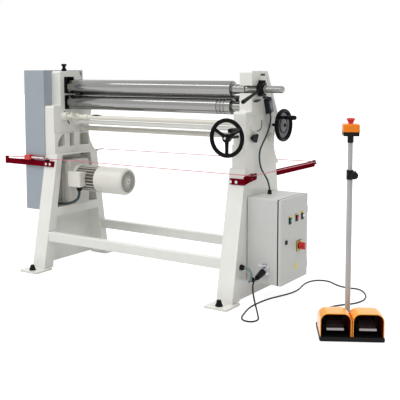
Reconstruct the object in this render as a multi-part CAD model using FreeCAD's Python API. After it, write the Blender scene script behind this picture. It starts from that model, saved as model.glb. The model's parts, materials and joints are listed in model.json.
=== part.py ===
"""Slip roll machine with powered rolls, built as separate solids.

Axes: +X along the rolls to the operator's right, +Y to the rear, +Z up.
The origin is the centre of the four floor anchor holes. All lengths are in mm.
"""
import math
import os

import FreeCAD
import Part

Vec = FreeCAD.Vector

# ---------------------------------------------------------------- driving sizes
ROLL_R = 47.5             # roll radius
ROLL_LEFT = -670.0        # left end of the roll barrels
ROLL_RIGHT = 600.0        # right end of the roll barrels
ROLL_Y = -34.0            # y of the two pinch rolls
TOP_Z = 1206.0            # height of the top roll axis
LOW_Z = 1102.0            # height of the lower roll axis, open
REAR_Y, REAR_Z = 76.0, 1118.0
REAR_TILT = 28.5          # lean of the rear roll's slideway from the vertical

HEAD_OUT = 774.0          # outer face of the heads and leg frames, from the middle
HEAD_IN = 694.0           # inner face of a head's upper block
HEAD_LOW_IN = 686.0       # inner face of a head's lower block
LEG_IN = 668.0            # inner face of the leg frames
HEAD_TOP, HEAD_BOTTOM = 1310.0, 760.0
HEAD_STEP = 1080.0        # ledge on the front edge of the heads

HEAD_FRONT = -120.0       # front edge of the heads above the ledge

COVER_X = -957.0          # outer face of the gear guard
COVER = (-194.0, 190.0, 372.0, 1316.0)    # front, rear, bottom and top of the gear guard
COVER_T, COVER_BEND = 3.0, 4.0            # sheet and outer bend radius of the gear guard

ANCHOR_X, ANCHOR_Y = 721.0, 381.0
ANCHOR_R = 7.0            # bore through the hollow levelling screws
FOOT_T = 12.0

PINCH_BAR = (-96.0, 1009.0, 15.0)     # y, z, radius
TIE_BAR = (10.0, 968.0, 14.5)
BEND_BAR = (97.0, 920.0, 17.0)

FRONT_WHEEL = (730.0, -318.0, 943.0)      # centre of the front handwheel
SIDE_WHEEL = (861.0, 103.0, 995.0)        # centre of the side handwheel
WHEEL_SHAFT_R = 8.0
LOCK_KNOB = (-105.0, 933.0)               # y, z

MOTOR_Z = 588.0
MOTOR_FLANGE_R = 92.0
COWL_X, COWL_END = -445.0, -219.0         # open and closed ends of the fan cowl
OUTPUT_Y, OUTPUT_Z = 0.0, 650.0
GEAR_MODULE = 5.0
ROLL_GEAR_TEETH, TRAIN_TOP_TEETH = 19, 24
IDLER_TEETH, PINION_TEETH = 48, 20
ROLL_GEAR_X = (-830.0, -800.0)
TRAIN_X = (-870.0, -845.0)
IDLER_TOP_Y = 50.0        # sideways offset of the upper idler

CABINET = (779.0, 969.0, -170.0, 162.0, 113.0, 598.0)
DOOR_X = (977.0, 993.0)

PULLEY_X, PULLEY_Y, PULLEY_R = 828.0, (-206.0, 600.0), 14.0
WIRE_Z = 729.2
WIRE_EYE, EYE_R = (-659.0, 258.0, 760.0), 9.2

PEDAL_CORNER = (1418.0, -579.0)
PEDAL_TURN = 29.4
PEDAL_SIZE = (316.0, 240.0, 27.0)

CLAMP_SCREW = (176.0, 794.0)              # across the pedal unit, height

# named clearances
RUN = 0.05                # radial gap of a shaft in its bearing
SLIDE = 0.3               # side gap of a sliding block
GAP = 0.3                 # gap between pieces that move past each other


# ---------------------------------------------------------------- small helpers
def box(x0, x1, y0, y1, z0, z1):
    """Box between the given limits, in any order."""
    lo = Vec(min(x0, x1), min(y0, y1), min(z0, z1))
    return Part.makeBox(abs(x1 - x0), abs(y1 - y0), abs(z1 - z0), lo)


def rod(start, end, r0, r1=None):
    """Cylinder or cone between two points."""
    a, b = Vec(*start), Vec(*end)
    axis = b - a
    if r1 is None or abs(r1 - r0) < 1e-9:
        return Part.makeCylinder(r0, axis.Length, a, axis)
    return Part.makeCone(r0, r1, axis.Length, a, axis)


def bar_x(x0, x1, y, z, r):
    """Round bar along X."""
    return rod((min(x0, x1), y, z), (max(x0, x1), y, z), r)


def fuse(*shapes):
    """One solid from several that touch or overlap."""
    out = shapes[0].multiFuse(list(shapes[1:])) if len(shapes) > 1 else shapes[0]
    return out.removeSplitter()


def cut(base, *tools):
    """Base with every tool taken away."""
    return base.cut(Part.makeCompound(list(tools))) if len(tools) == 1 else base.cut(list(tools))


def side_plate(points, x0, x1):
    """Plate along X whose outline is a list of (y, z); a 4-tuple is an arc's middle and end."""
    edges = []
    here = points[0][:2]
    for point in list(points[1:]) + [points[0][:2]]:
        end = point[-2:]
        if len(point) == 4:
            arc = Part.Arc(Vec(x0, *here), Vec(x0, *point[:2]), Vec(x0, *end))
            edges.append(arc.toShape())
        elif here != end:
            edges.append(Part.makeLine(Vec(x0, *here), Vec(x0, *end)))
        here = end
    return Part.Face(Part.Wire(edges)).extrude(Vec(x1 - x0, 0, 0))


def polygon(points, step):
    """Prism from 3-D points pushed along step."""
    wire = Part.makePolygon([Vec(*p) for p in points] + [Vec(*points[0])])
    return Part.Face(wire).extrude(Vec(*step))


def lathe(profile, origin, axis):
    """Body of revolution from (distance along the axis, radius) pairs."""
    axis = Vec(*axis).normalize()
    helper = Vec(0, 0, 1) if abs(axis.z) < 0.9 else Vec(1, 0, 0)
    side = axis.cross(helper).normalize()
    points = [Vec(*origin) + axis * a + side * r for a, r in profile]
    wire = Part.makePolygon(points + [points[0]])
    return Part.Face(wire).revolve(Vec(*origin), axis, 360)


def round_off(shape, radius, pick):
    """Fillet the edges that pick accepts; returns the plain shape if none is left."""
    edges = [e for e in shape.Edges if pick(e)]
    return shape.makeFillet(radius, edges) if edges else shape


def along(axis):
    """Test for straight edges that run along an axis."""
    def test(edge):
        if edge.Curve.TypeId != "Part::GeomLine":
            return False
        way = edge.Curve.Direction
        return abs(abs(way.dot(Vec(*axis))) - 1) < 1e-6
    return test


def hexagon(centre, axis, across, length):
    """Hexagonal prism along an axis."""
    axis = Vec(*axis).normalize()
    helper = Vec(0, 0, 1) if abs(axis.z) < 0.9 else Vec(1, 0, 0)
    u = axis.cross(helper).normalize()
    v = axis.cross(u)
    r = across / math.sqrt(3)
    ring = []
    for k in range(6):
        a = math.radians(60 * k)
        ring.append(Vec(*centre) + u * (r * math.cos(a)) + v * (r * math.sin(a)))
    return Part.Face(Part.makePolygon(ring + [ring[0]])).extrude(axis * length)


def route(points, fixed=None):
    """Wire of straight runs and tangent arcs through the given points."""
    pts = [Vec(*p) for p in points]
    edges = []
    here = pts[0]
    for i in range(1, len(pts) - 1):
        back, ahead = pts[i - 1] - pts[i], pts[i + 1] - pts[i]
        run = min(back.Length, ahead.Length)
        turn = math.pi - back.getAngle(ahead)
        if turn < 0.01:
            continue
        radius = fixed or 0.45 * run / math.tan(turn / 2)
        reach = radius * math.tan(turn / 2)
        b, a = Vec(back).normalize(), Vec(ahead).normalize()
        p0, p2 = pts[i] + b * reach, pts[i] + a * reach
        bisect = Vec(b + a).normalize()
        centre = pts[i] + bisect * (radius / math.cos(turn / 2))
        p1 = centre - bisect * radius
        edges.append(Part.makeLine(here, p0))
        edges.append(Part.Arc(p0, p1, p2).toShape())
        here = p2
    edges.append(Part.makeLine(here, pts[-1]))
    return Part.Wire(edges), min_radius(pts)


def min_radius(pts):
    """Smallest arc radius of a route, with its largest turn in degrees."""
    worst, biggest = 1e9, 0.0
    for i in range(1, len(pts) - 1):
        back, ahead = pts[i - 1] - pts[i], pts[i + 1] - pts[i]
        turn = math.pi - back.getAngle(ahead)
        if turn > 0.01:
            worst = min(worst, 0.45 * min(back.Length, ahead.Length) / math.tan(turn / 2))
            biggest = max(biggest, math.degrees(turn))
    return worst, biggest


def cord(name, points, radius):
    """Round cord swept along a route; prints its radii and checks its volume."""
    wire, (tight, turn) = route(points)
    start = Vec(*points[0])
    axis = Vec(*points[1]) - start
    ring = Part.Wire(Part.makeCircle(radius, start, axis))
    tube = wire.makePipeShell([ring], True, False)
    solid = tube if tube.ShapeType == "Solid" else Part.Solid(tube)
    if solid.Volume < 0:
        solid.reverse()
    expect = math.pi * radius ** 2 * wire.Length
    print("cord %s length %.0f radius min %.0f turn max %.0f volume ratio %.3f"
          % (name, wire.Length, tight, turn, solid.Volume / expect))
    return solid


def gear_points(teeth, r_tip, r_root, half_tip, half_root, phase):
    """Outline of a gear as (y, z) offsets; half widths are in mm on their own circles."""
    points = []
    for k in range(teeth):
        mid = phase + 2 * math.pi * k / teeth
        for r, off in ((r_root, -half_root), (r_tip, -half_tip), (r_tip, half_tip), (r_root, half_root)):
            a = mid + off / r
            points.append((r * math.cos(a), r * math.sin(a)))
    return points


def gear(x0, x1, y, z, *shape):
    """Spur gear along X; shape is teeth, tip and root radius, half widths and phase."""
    points = [(x0, y + a, z + b) for a, b in gear_points(*shape)]
    return polygon(points, (x1 - x0, 0, 0))


def both_sides(make):
    """The same piece made for the left (-1) and the right (+1) side."""
    return make(-1), make(1)


# ---------------------------------------------------------------- gear train layout
def mesh_phase(r_a, phase_a, r_b, teeth_b, heading):
    """Phase of gear b that meshes with gear a; heading points from a to b."""
    pitch = 2 * math.pi * r_b / teeth_b
    return heading + math.pi - (r_a * (phase_a - heading) + pitch / 2) / r_b


def train_layout():
    """Centres and phases of the gear train, keyed by gear."""
    r_top = GEAR_MODULE * TRAIN_TOP_TEETH / 2
    r_idler = GEAR_MODULE * IDLER_TEETH / 2
    r_pinion = GEAR_MODULE * PINION_TEETH / 2
    top = (ROLL_Y, TOP_Z)
    reach = r_top + r_idler
    drop = math.sqrt(reach ** 2 - (IDLER_TOP_Y - ROLL_Y) ** 2)
    upper = (IDLER_TOP_Y, TOP_Z - drop)
    dy, dz = OUTPUT_Y - upper[0], OUTPUT_Z - upper[1]
    dist = math.hypot(dy, dz)
    near, far = 2 * r_idler, r_idler + r_pinion
    a = (near ** 2 - far ** 2 + dist ** 2) / (2 * dist)
    h = math.sqrt(near ** 2 - a ** 2)
    lower = (upper[0] + (a * dy + h * dz) / dist, upper[1] + (a * dz - h * dy) / dist)
    gears = {"top": (top, TRAIN_TOP_TEETH, 0.0)}
    chain = (("upper", upper, IDLER_TEETH), ("lower", lower, IDLER_TEETH),
             ("pinion", (OUTPUT_Y, OUTPUT_Z), PINION_TEETH))
    last = "top"
    for name, centre, teeth in chain:
        (cy, cz), n, phase = gears[last]
        heading = math.atan2(centre[1] - cz, centre[0] - cy)
        turned = mesh_phase(GEAR_MODULE * n / 2, phase, GEAR_MODULE * teeth / 2, teeth, heading)
        gears[name] = (centre, teeth, turned)
        last = name
    return gears


def train_gear(name, x0=TRAIN_X[0], x1=TRAIN_X[1]):
    """Toothed rim of one gear of the train."""
    (y, z), teeth, phase = train_layout()[name]
    r = GEAR_MODULE * teeth / 2
    return gear(x0, x1, y, z, teeth, r + 4.4, r - 6.2, 1.7, 4.6, phase)


def roll_gear(z, phase):
    """Long-toothed gear that stays in mesh while the lower roll is raised."""
    return gear(*ROLL_GEAR_X, ROLL_Y, z, ROLL_GEAR_TEETH, 55.0, 40.0, 1.1, 3.3, phase)


# ---------------------------------------------------------------- frame
def front_line(z):
    """y of a leg's front edge."""
    return -190.0 - (740.0 - z) * 0.19


def rear_line(z):
    """y of a leg's rear edge."""
    return 212.0 + (737.0 - z) * 0.159


def leg_frame(side):
    """Welded leg frame: outer web, front and rear column, cross member and feet."""
    x_in, x_out = side * LEG_IN, side * HEAD_OUT
    x_web = side * (HEAD_OUT - 12)
    body = side_plate([(front_line(12), 12), (rear_line(12), 12), (rear_line(760), 760),
                       (front_line(760), 760)], x_in, x_out)
    window = side_plate([(-193, 404), (206, 404), (141, 748), (-138, 748)], side * 600, x_web)
    lower = side_plate([(front_line(0) + 84, 0), (rear_line(0) - 62, 0), (rear_line(346) - 60, 346),
                        (front_line(346) + 66, 346)], side * 600, x_web)
    heel = side_plate([(rear_line(-1) - 30, -1), (rear_line(-1) + 20, -1), (rear_line(761) + 20, 761),
                       (rear_line(761) - 30, 761)], side * (HEAD_OUT - 44), side * 800)
    sole = box(side * 600, x_out, front_line(0) + 84, rear_line(0) - 62, 0, 20)
    tools = [window, lower, heel, sole]
    if side < 0:
        tools.append(bar_x(-800, -700, OUTPUT_Y, OUTPUT_Z, 26))
    for y in (-110, 105):
        tools.append(rod((side * 716, y, 700), (side * 716, y, 770), 8.5))
    body = cut(body, *tools)
    feet = []
    for end in (-1, 1):
        foot = box(side * 646, side * 796, end * 271, end * 426, 0, FOOT_T)
        foot = round_off(foot, 10, along((0, 0, 1)))
        feet.append(cut(foot, rod((side * ANCHOR_X, end * ANCHOR_Y, -5),
                                  (side * ANCHOR_X, end * ANCHOR_Y, 30), 12)))
    return fuse(body, *feet)


def head_outline(side):
    """Side view of a head's upper block."""
    return [(HEAD_FRONT, HEAD_TOP), (HEAD_FRONT, HEAD_STEP), (-188, HEAD_STEP), (-188, 880), (155, 880),
            (155, 921), (197, 1065), (65, HEAD_TOP)]


def slanted_box(x0, x1, s0, s1, half):
    """Box along the rear roll's slideway, s0 to s1 from the roll axis."""
    a = math.radians(REAR_TILT)
    up, out = (-math.sin(a), math.cos(a)), (math.cos(a), math.sin(a))
    corners = []
    for s, w in ((s0, -half), (s1, -half), (s1, half), (s0, half)):
        corners.append((x0, REAR_Y + up[0] * s + out[0] * w, REAR_Z + up[1] * s + out[1] * w))
    return polygon(corners, (x1 - x0, 0, 0))


def slanted_rod(x, s0, s1, r):
    """Round bar along the rear roll's slideway."""
    a = math.radians(REAR_TILT)
    ends = [(x, REAR_Y - math.sin(a) * s, REAR_Z + math.cos(a) * s) for s in (s0, s1)]
    return rod(ends[0], ends[1], r)


def casting_pockets(side):
    """Three pockets in the inner face of a head's foot."""
    x0, x1 = side * 680, side * 756
    corner = side_plate([(-92, 893), (-92, 812), (-160, 803), (-140, 862, -92, 893)], x0, x1)
    middle = side_plate([(-44, 803), (0, 803), (0, 893), (-44, 893)], x0, x1)
    rear = side_plate([(56, 804), (150, 804), (141, 885), (56, 885)], x0, x1)
    return [corner, middle, rear]


def head(side):
    """Cast head with guides for the sliding blocks and seats for the cross shafts."""
    upper = side_plate(head_outline(side), side * HEAD_IN, side * HEAD_OUT)
    lower = side_plate([(-188, HEAD_BOTTOM), (-188, 895), (147, 895), (168, 822, 213, HEAD_BOTTOM)],
                       side * HEAD_LOW_IN, side * HEAD_OUT)
    upper = round_off(upper, 14, lambda e: along((1, 0, 0))(e) and e.CenterOfMass.z > 1050)
    bosses = []
    for (y, z, r), big in ((PINCH_BAR, 27), (TIE_BAR, 24), (BEND_BAR, 24)):
        bosses.append(bar_x(side * 652, side * 700, y, z, big))
    adds = [lower] + bosses
    if side > 0:
        adds.append(bar_x(770, 780, PINCH_BAR[0], 1007, 42))
        adds.append(rod((FRONT_WHEEL[0], -200, FRONT_WHEEL[2]), (FRONT_WHEEL[0], -180, FRONT_WHEEL[2]), 18))
        adds.append(rod((HEAD_OUT, *SIDE_WHEEL[1:]), (HEAD_OUT + 16, *SIDE_WHEEL[1:]), 26, 12))
    else:
        adds.append(bar_x(-788, -770, ROLL_Y, TOP_Z, 36))
        gears = train_layout()
        for name in ("upper", "lower"):
            y, z = gears[name][0]
            adds.append(bar_x(-880, -770, y, z, 15))
            adds.append(bar_x(-836, -770, y, z, 21))
            adds.append(bar_x(-886, -876, y, z, 19))
    body = fuse(upper, *adds)
    tools = casting_pockets(side)
    tools.append(box(side * 680, side * 754, ROLL_Y - 45, ROLL_Y + 45, 1054, 1150))
    tools.append(rod((side * 723, ROLL_Y, 1006), (side * 723, ROLL_Y, 1060), 9.5))
    tools.append(slanted_box(side * 680, side * 752, -51, 67, 28 + SLIDE))
    tools.append(slanted_rod(side * 723, -100, -40, 8.5))
    tools.append(bar_x(side * 640, side * 757, *PINCH_BAR[:2], PINCH_BAR[2] + RUN))
    tools.append(bar_x(side * 640, side * 690, *TIE_BAR[:2], TIE_BAR[2] + RUN))
    reach = 800 if side > 0 else 757
    tools.append(bar_x(side * 640, side * reach, *BEND_BAR[:2], BEND_BAR[2] + RUN))
    for y in (-110, 105):
        tools.append(rod((side * 716, y, 750), (side * 716, y, 792), 8 + RUN))
    if side > 0:
        tools.extend(right_head_openings())
    else:
        tools.extend(left_head_openings())
    return cut(body, *tools)


def right_head_openings():
    """Open journal slot, handwheel bores and the slot near the top."""
    seat = bar_x(680, 790, ROLL_Y, TOP_Z, 22.1)
    mouth = box(680, 790, -130, ROLL_Y, TOP_Z - 22.1, TOP_Z + 22.1)
    name_slot = fuse(box(770, 790, -14, 34, 1283, 1295), bar_x(770, 790, -14, 1289, 6),
                     bar_x(770, 790, 34, 1289, 6))
    front = rod((FRONT_WHEEL[0], -210, FRONT_WHEEL[2]), (FRONT_WHEEL[0], -112, FRONT_WHEEL[2]), WHEEL_SHAFT_R + RUN)
    side = bar_x(700, 800, *SIDE_WHEEL[1:], WHEEL_SHAFT_R + RUN)
    lock = bar_x(HEAD_OUT - 18, HEAD_OUT + 26, *LOCK_KNOB, 6 + RUN)
    return [seat, mouth, name_slot, front, side, lock]


def left_head_openings():
    """Window of the swivelling bearing and the shaft passages to the gears."""
    window = box(-680, -758, -83, 14, 1160, 1272)
    trunnions = rod((-726.5, ROLL_Y, 1151.5), (-726.5, ROLL_Y, 1286), 10 + RUN)
    stub = bar_x(-800, -750, ROLL_Y, TOP_Z, 24 + RUN)
    passage = fuse(box(-800, -750, ROLL_Y - 25, ROLL_Y + 25, LOW_Z - 8, LOW_Z + 10),
                   bar_x(-800, -750, ROLL_Y, LOW_Z - 8, 25), bar_x(-800, -750, ROLL_Y, LOW_Z + 10, 25))
    slit = polygon([(-690, -60, 1000), (-690, -54, 1004), (-690, -84, 1046), (-690, -90, 1042)],
                   (-16, 0, 0))
    knob = rod((-734, -40, 1290), (-734, -40, 1320), 6 + RUN)
    return [window, trunnions, stub, passage, slit, knob]


def beam(y0, y1):
    """Rectangular floor beam, hollow, closed by the legs at its ends."""
    outer = box(-LEG_IN, LEG_IN, y0, y1, 191, 253)
    outer = round_off(outer, 5, along((1, 0, 0)))
    return cut(outer, box(-LEG_IN + 4, LEG_IN - 4, y0 + 4, y1 - 4, 195, 249))


def cross_ties():
    """Two floor beams and the round tie bar between the heads."""
    return Part.makeCompound([beam(-285, -245), beam(253, 293), bar_x(-690, 690, *TIE_BAR)])


def frame_bolts():
    """Hollow levelling screws in the feet and hexagon screws that hold the heads."""
    pieces = []
    for sx in (-1, 1):
        for sy in (-1, 1):
            x, y = sx * ANCHOR_X, sy * ANCHOR_Y
            screw = lathe([(0, 0), (0, 11.9), (12, 11.9), (12, 22), (22, 19), (46, 13), (46, 0)],
                          (x, y, 0), (0, 0, 1))
            pieces.append(cut(screw, rod((x, y, -5), (x, y, 60), ANCHOR_R)))
        for y in (-110, 105):
            pieces.append(fuse(hexagon((sx * 716, y, 738), (0, 0, 1), 24, 10),
                               rod((sx * 716, y, 740), (sx * 716, y, 790), 8)))
    return Part.makeCompound(pieces)


def gear_cover():
    """Guard over the gears: a drawn shell open towards the stand."""
    x, t = COVER_X, COVER_T
    y0, y1, z0, z1 = COVER
    outer = box(x, -HEAD_OUT, y0, y1, z0, z1)
    outer = round_off(outer, COVER_BEND, lambda e: abs(e.CenterOfMass.x - x) < 1 or along((1, 0, 0))(e))
    inner = box(x + t, -HEAD_OUT - t, y0 + t, y1 - t, z0 + t, z1 - t)
    way_in = box(-HEAD_OUT - 2 * t, -HEAD_OUT + t, HEAD_FRONT + 4, y1 - 18, z0 + 18, z1 - 16)
    return cut(outer, inner, way_in)


# ---------------------------------------------------------------- rolls
def top_roll():
    """Top roll with its journals, the shaft end and the driving tongue."""
    parts = [lathe([(0, 0), (0, ROLL_R - 2), (2, ROLL_R), (1268, ROLL_R), (1270, ROLL_R - 2), (1270, 29),
                    (1360, 29), (1360, 22), (1444, 22), (1444, 20.5), (1479, 20.5), (1479, 27), (1491, 27),
                    (1491, 20), (1593, 20), (1601, 15), (1603, 8), (1603, 0)],
                   (ROLL_LEFT, ROLL_Y, TOP_Z), (1, 0, 0)),
             bar_x(-751, -660, ROLL_Y, TOP_Z, 22.5)]
    tongue = box(-768, -745, ROLL_Y - 6, ROLL_Y + 6, TOP_Z - 15, TOP_Z + 15)
    return fuse(*parts, tongue)


def lower_roll():
    """Lower roll with wire grooves and journals; the left one drives its gear."""
    profile = [(0, 0), (0, ROLL_R - 2), (2, ROLL_R)]
    for x, half in ((511, 6.0), (535, 5.0), (559, 4.0)):
        s = x - ROLL_LEFT
        for k in range(7):
            a = math.pi * k / 6
            profile.append((s - half * math.cos(a), ROLL_R - half * math.sin(a)))
    profile += [(1268, ROLL_R), (1270, ROLL_R - 2), (1270, 28), (1358, 28), (1358, 22), (1418, 22), (1418, 0)]
    barrel = lathe(profile, (ROLL_LEFT, ROLL_Y, LOW_Z), (1, 0, 0))
    neck = bar_x(-688, -660, ROLL_Y, LOW_Z, 28)
    shaft = bar_x(-800, -660, ROLL_Y, LOW_Z, 22)
    end = bar_x(-830, -790, ROLL_Y, LOW_Z, 18)
    return fuse(barrel, neck, shaft, end)


def rear_roll():
    """Bending roll behind the pinch rolls."""
    profile = [(0, 0), (0, 20), (62, 20), (62, 28), (78, 28), (78, ROLL_R - 2), (80, ROLL_R), (1346, ROLL_R),
               (1348, ROLL_R - 2), (1348, 28), (1436, 28), (1436, 20), (1498, 20), (1498, 0)]
    return lathe(profile, (-748, REAR_Y, REAR_Z), (1, 0, 0))


def swivel_block():
    """Upright bearing that turns on two pins and holds the top roll's left journal."""
    body = rod((-726.5, ROLL_Y, 1166), (-726.5, ROLL_Y, 1246), 31)
    pins = [rod((-726.5, ROLL_Y, 1152.5), (-726.5, ROLL_Y, 1170), 10),
            rod((-726.5, ROLL_Y, 1240), (-726.5, ROLL_Y, 1285), 10)]
    return cut(fuse(body, *pins), bar_x(-800, -680, ROLL_Y, TOP_Z, 22.5 + RUN))


def lower_roll_blocks():
    """Pair of upright sliding bearings of the lower roll, with their lift screws."""
    def block(side):
        x0, x1 = side * (HEAD_IN + 0.5), side * 752
        body = box(x0, x1, ROLL_Y - 45 + SLIDE, ROLL_Y + 45 - SLIDE, LOW_Z - 40, LOW_Z + 37)
        screw = rod((side * 723, ROLL_Y, 1022), (side * 723, ROLL_Y, 1066), 9)
        if side > 0:
            cap = box(HEAD_IN - 50, HEAD_IN - GAP, ROLL_Y - 26, ROLL_Y + 26, LOW_Z + 29.5, LOW_Z + 56.5)
            bridge = box(HEAD_IN - 6, x0 + 6, ROLL_Y - 26, ROLL_Y + 26, LOW_Z + 29.5, LOW_Z + 36)
            body = fuse(body, cap, bridge)
        return cut(fuse(body, screw), bar_x(side * 680, side * 760, ROLL_Y, LOW_Z, 22 + RUN))
    return Part.makeCompound(list(both_sides(block)))


def rear_roll_blocks():
    """Pair of inclined sliding bearings of the rear roll, with their screws."""
    def block(side):
        body = slanted_box(side * (HEAD_IN + 0.5), side * 750, -30, 30, 28)
        screw = slanted_rod(side * 723, -76, -26, 8)
        return cut(fuse(body, screw), bar_x(side * 680, side * 760, REAR_Y, REAR_Z, 20 + RUN))
    return Part.makeCompound(list(both_sides(block)))


# ---------------------------------------------------------------- drive
def top_gear():
    """Stub shaft with the slot for the roll's tongue and its two gears."""
    shaft = bar_x(-800, -760, ROLL_Y, TOP_Z, 24)
    hub = bar_x(-874, -789, ROLL_Y, TOP_Z, 30)
    slot = box(-770, -755, ROLL_Y - 13, ROLL_Y + 13, TOP_Z - 30, TOP_Z + 30)
    pitch = 2 * math.pi / ROLL_GEAR_TEETH
    phase = -math.pi / 2 + pitch / 2
    return cut(fuse(shaft, hub, roll_gear(TOP_Z, phase), train_gear("top")), slot)


def lower_gear():
    """Gear on the lower roll's shaft end, held by a nut."""
    ring = fuse(roll_gear(LOW_Z, math.pi / 2), hexagon((-830, ROLL_Y, LOW_Z), (-1, 0, 0), 46, 10))
    return cut(ring, bar_x(-830.3, -790, ROLL_Y, LOW_Z, 18 + RUN))


def idler(name):
    """Large idler with a turned-back web and lightening holes."""
    (y, z), teeth, phase = train_layout()[name]
    rim = train_gear(name)
    hub = bar_x(-874, -838, y, z, 30)
    body = fuse(rim, hub)
    tools = [cut(bar_x(-900, -866, y, z, 98), bar_x(-900, -860, y, z, 34)),
             cut(bar_x(-849, -820, y, z, 98), bar_x(-860, -820, y, z, 34)),
             bar_x(-900, -800, y, z, 15 + RUN)]
    for k in range(5):
        a = math.radians(72 * k + 20)
        tools.append(bar_x(-900, -800, y + 66 * math.cos(a), z + 66 * math.sin(a), 19))
    return cut(body, *tools)


def output_pinion():
    """Gearbox output shaft with its pinion."""
    shaft = bar_x(-870, -692, OUTPUT_Y, OUTPUT_Z, 15)
    return fuse(shaft, train_gear("pinion"), bar_x(-876, -840, OUTPUT_Y, OUTPUT_Z, 24))


def gearbox():
    """Reducer case on the left leg's cross member."""
    case = box(-762, -640, -92, 92, 430, 712)
    case = round_off(case, 18, along((1, 0, 0)))
    foot = box(-758, -650, -98, 98, 404, 434)
    flange = bar_x(-660, -622, 0, MOTOR_Z, MOTOR_FLANGE_R)
    ribs = [box(-745 + k * 30, -739 + k * 30, -98, 98, 430, 690) for k in range(4)]
    body = fuse(case, foot, flange, *ribs)
    plug = hexagon((-700, 0, 712), (0, 0, 1), 22, 8)
    tools = [bar_x(-800, -690, OUTPUT_Y, OUTPUT_Z, 15 + RUN), bar_x(-685, -600, 0, MOTOR_Z, 12 + RUN)]
    return cut(fuse(body, plug), *tools)


def motor_body():
    """Finned motor case with its flange and terminal box."""
    shell = bar_x(-618, -350, 0, MOTOR_Z, 80)
    flange = bar_x(-622, -610, 0, MOTOR_Z, MOTOR_FLANGE_R)
    fins = []
    for k in range(30):
        a = 12.0 * k
        fin = box(-618, COWL_X, -1.6, 1.6, MOTOR_Z + 76, MOTOR_Z + 88.5)
        fin.rotate(Vec(0, 0, MOTOR_Z), Vec(1, 0, 0), a)
        fins.append(fin)
    lid = box(-630, -522.5, -132, -MOTOR_FLANGE_R - 1.5, 541, 643)
    lid = round_off(lid, 6, along((0, 1, 0)))
    neck = box(-618, -522.5, -98, -60, 545, 639)
    body = fuse(shell, flange, lid, neck, *fins)
    cavity = bar_x(-604, -364, 0, MOTOR_Z, 62)
    bore = bar_x(-700, -300, 0, MOTOR_Z, 12 + RUN)
    return cut(body, cavity, bore)


def motor_rotor():
    """Motor shaft with its rotor core and fan."""
    shaft = bar_x(-684, -262, 0, MOTOR_Z, 12)
    core = bar_x(-592, -376, 0, MOTOR_Z, 60)
    hub = bar_x(-336, -268, 0, MOTOR_Z, 24)
    blades = []
    for k in range(7):
        blade = box(-330, -275, -2, 2, MOTOR_Z + 18, MOTOR_Z + 79)
        blade.rotate(Vec(-302, 0, MOTOR_Z), Vec(0, 0, 1), 18)
        blade.rotate(Vec(0, 0, MOTOR_Z), Vec(1, 0, 0), 360.0 / 7 * k)
        blades.append(blade)
    return fuse(shaft, core, hub, *blades)


def fan_cowl():
    """Sheet cowl round the fan with an air grille in its end."""
    n = COWL_END - COWL_X
    shell = lathe([(0, 86), (0, 89), (n - 12, 89), (n, 78), (n, 0), (n - 3, 0), (n - 3, 76.5), (n - 13, 86)],
                  (COWL_X, 0, MOTOR_Z), (1, 0, 0))
    slots = []
    for ring, count in ((24, 6), (42, 10), (60, 14)):
        for k in range(count):
            a = 2 * math.pi * k / count
            slots.append(bar_x(COWL_END - 11, COWL_END + 9, ring * math.cos(a), MOTOR_Z + ring * math.sin(a), 5.5))
    return cut(shell, *slots)


# ---------------------------------------------------------------- cables
def limit_cable_path():
    """Route of the cable from the limit switch to the cabinet's roof."""
    return [(790, 70.6, 1063), (790, 79, 1037), (790, 70, 1003), (790, 50, 965), (791, 16, 927), (792, -22, 893),
            (792, -56, 857), (792, -62, 800), (794, -38, 742), (802, -6, 705), (818, 8, 664), (824, 8, 622.2)]


def cabinet_conduit_path():
    """Route of the conduit from the leg to the cabinet's lower front edge."""
    return [(799.2, -235, 207), (825, -236, 206), (846, -242, 188), (848, -246, 158), (836, -240, 133),
            (817, -218, 128), (816, -190.2, 128)]


def motor_conduit_path():
    """Route of the conduit from the terminal box to the inside of the leg."""
    return [(-560, -96, 511.8), (-560, -96, 478), (-580, -106, 444), (-630, -122, 424), (-690, -136, 418),
            (-761.8, -136, 418)]


def pedal_cable_path():
    """Route of the pedal unit's cable over the floor, from the plug to the base."""
    z = 6.0
    return [(896.0, -284, 168.5), (900, -318, 156), (914, -344, 118), (936, -362, 66), (958, -376, 28),
            (984, -408, z), (1012, -450, z), (1008, -502, z), (958, -516, z), (918, -476, z), (898, -410, z),
            (876, -340, z), (864, -262, z), (866, -186, z), (876, -95, z), (904, -10, z), (932, 76, z),
            (938, 170, z), (918, 262, z), (906, 352, z), (934, 432, z), (1010, 452, z), (1084, 392, z),
            (1160, 366, z), (1232, 388, z), (1292, 330, z), (1336, 244, z), (1346, 156, z), (1316, 76, z),
            (1262, 16, z), (1228, -62, z), (1240, -148, z), (1292, -212, z), (1346, -248, 9),
            (1381.4, -310.2, 13)]


def wiring():
    """Fixed cables and conduits."""
    return Part.makeCompound([cord("limit switch cable", limit_cable_path(), 3.8),
                              cord("cabinet conduit", cabinet_conduit_path(), 5.5),
                              cord("motor conduit", motor_conduit_path(), 6.5)])


def cable_glands():
    """Glands at the ends of the fixed cables."""
    def gland(point, axis, r, length):
        axis = Vec(*axis).normalize()
        base = Vec(*point)
        nut = hexagon(point, axis, 2 * r, length * 0.45)
        dome = Part.makeCone(r * 0.92, r * 0.66, length * 0.6, base + axis * (length * 0.4), axis)
        return fuse(nut, dome)
    return Part.makeCompound([gland((774, -235, 207), (1, 0, 0), 15, 25),
                              gland((816, -170, 128), (0, -1, 0), 13, 20),
                              gland((824, 8, 598), (0, 0, 1), 12, 24),
                              gland((-560, -96, 541), (0, 0, -1), 14, 29)])


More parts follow.
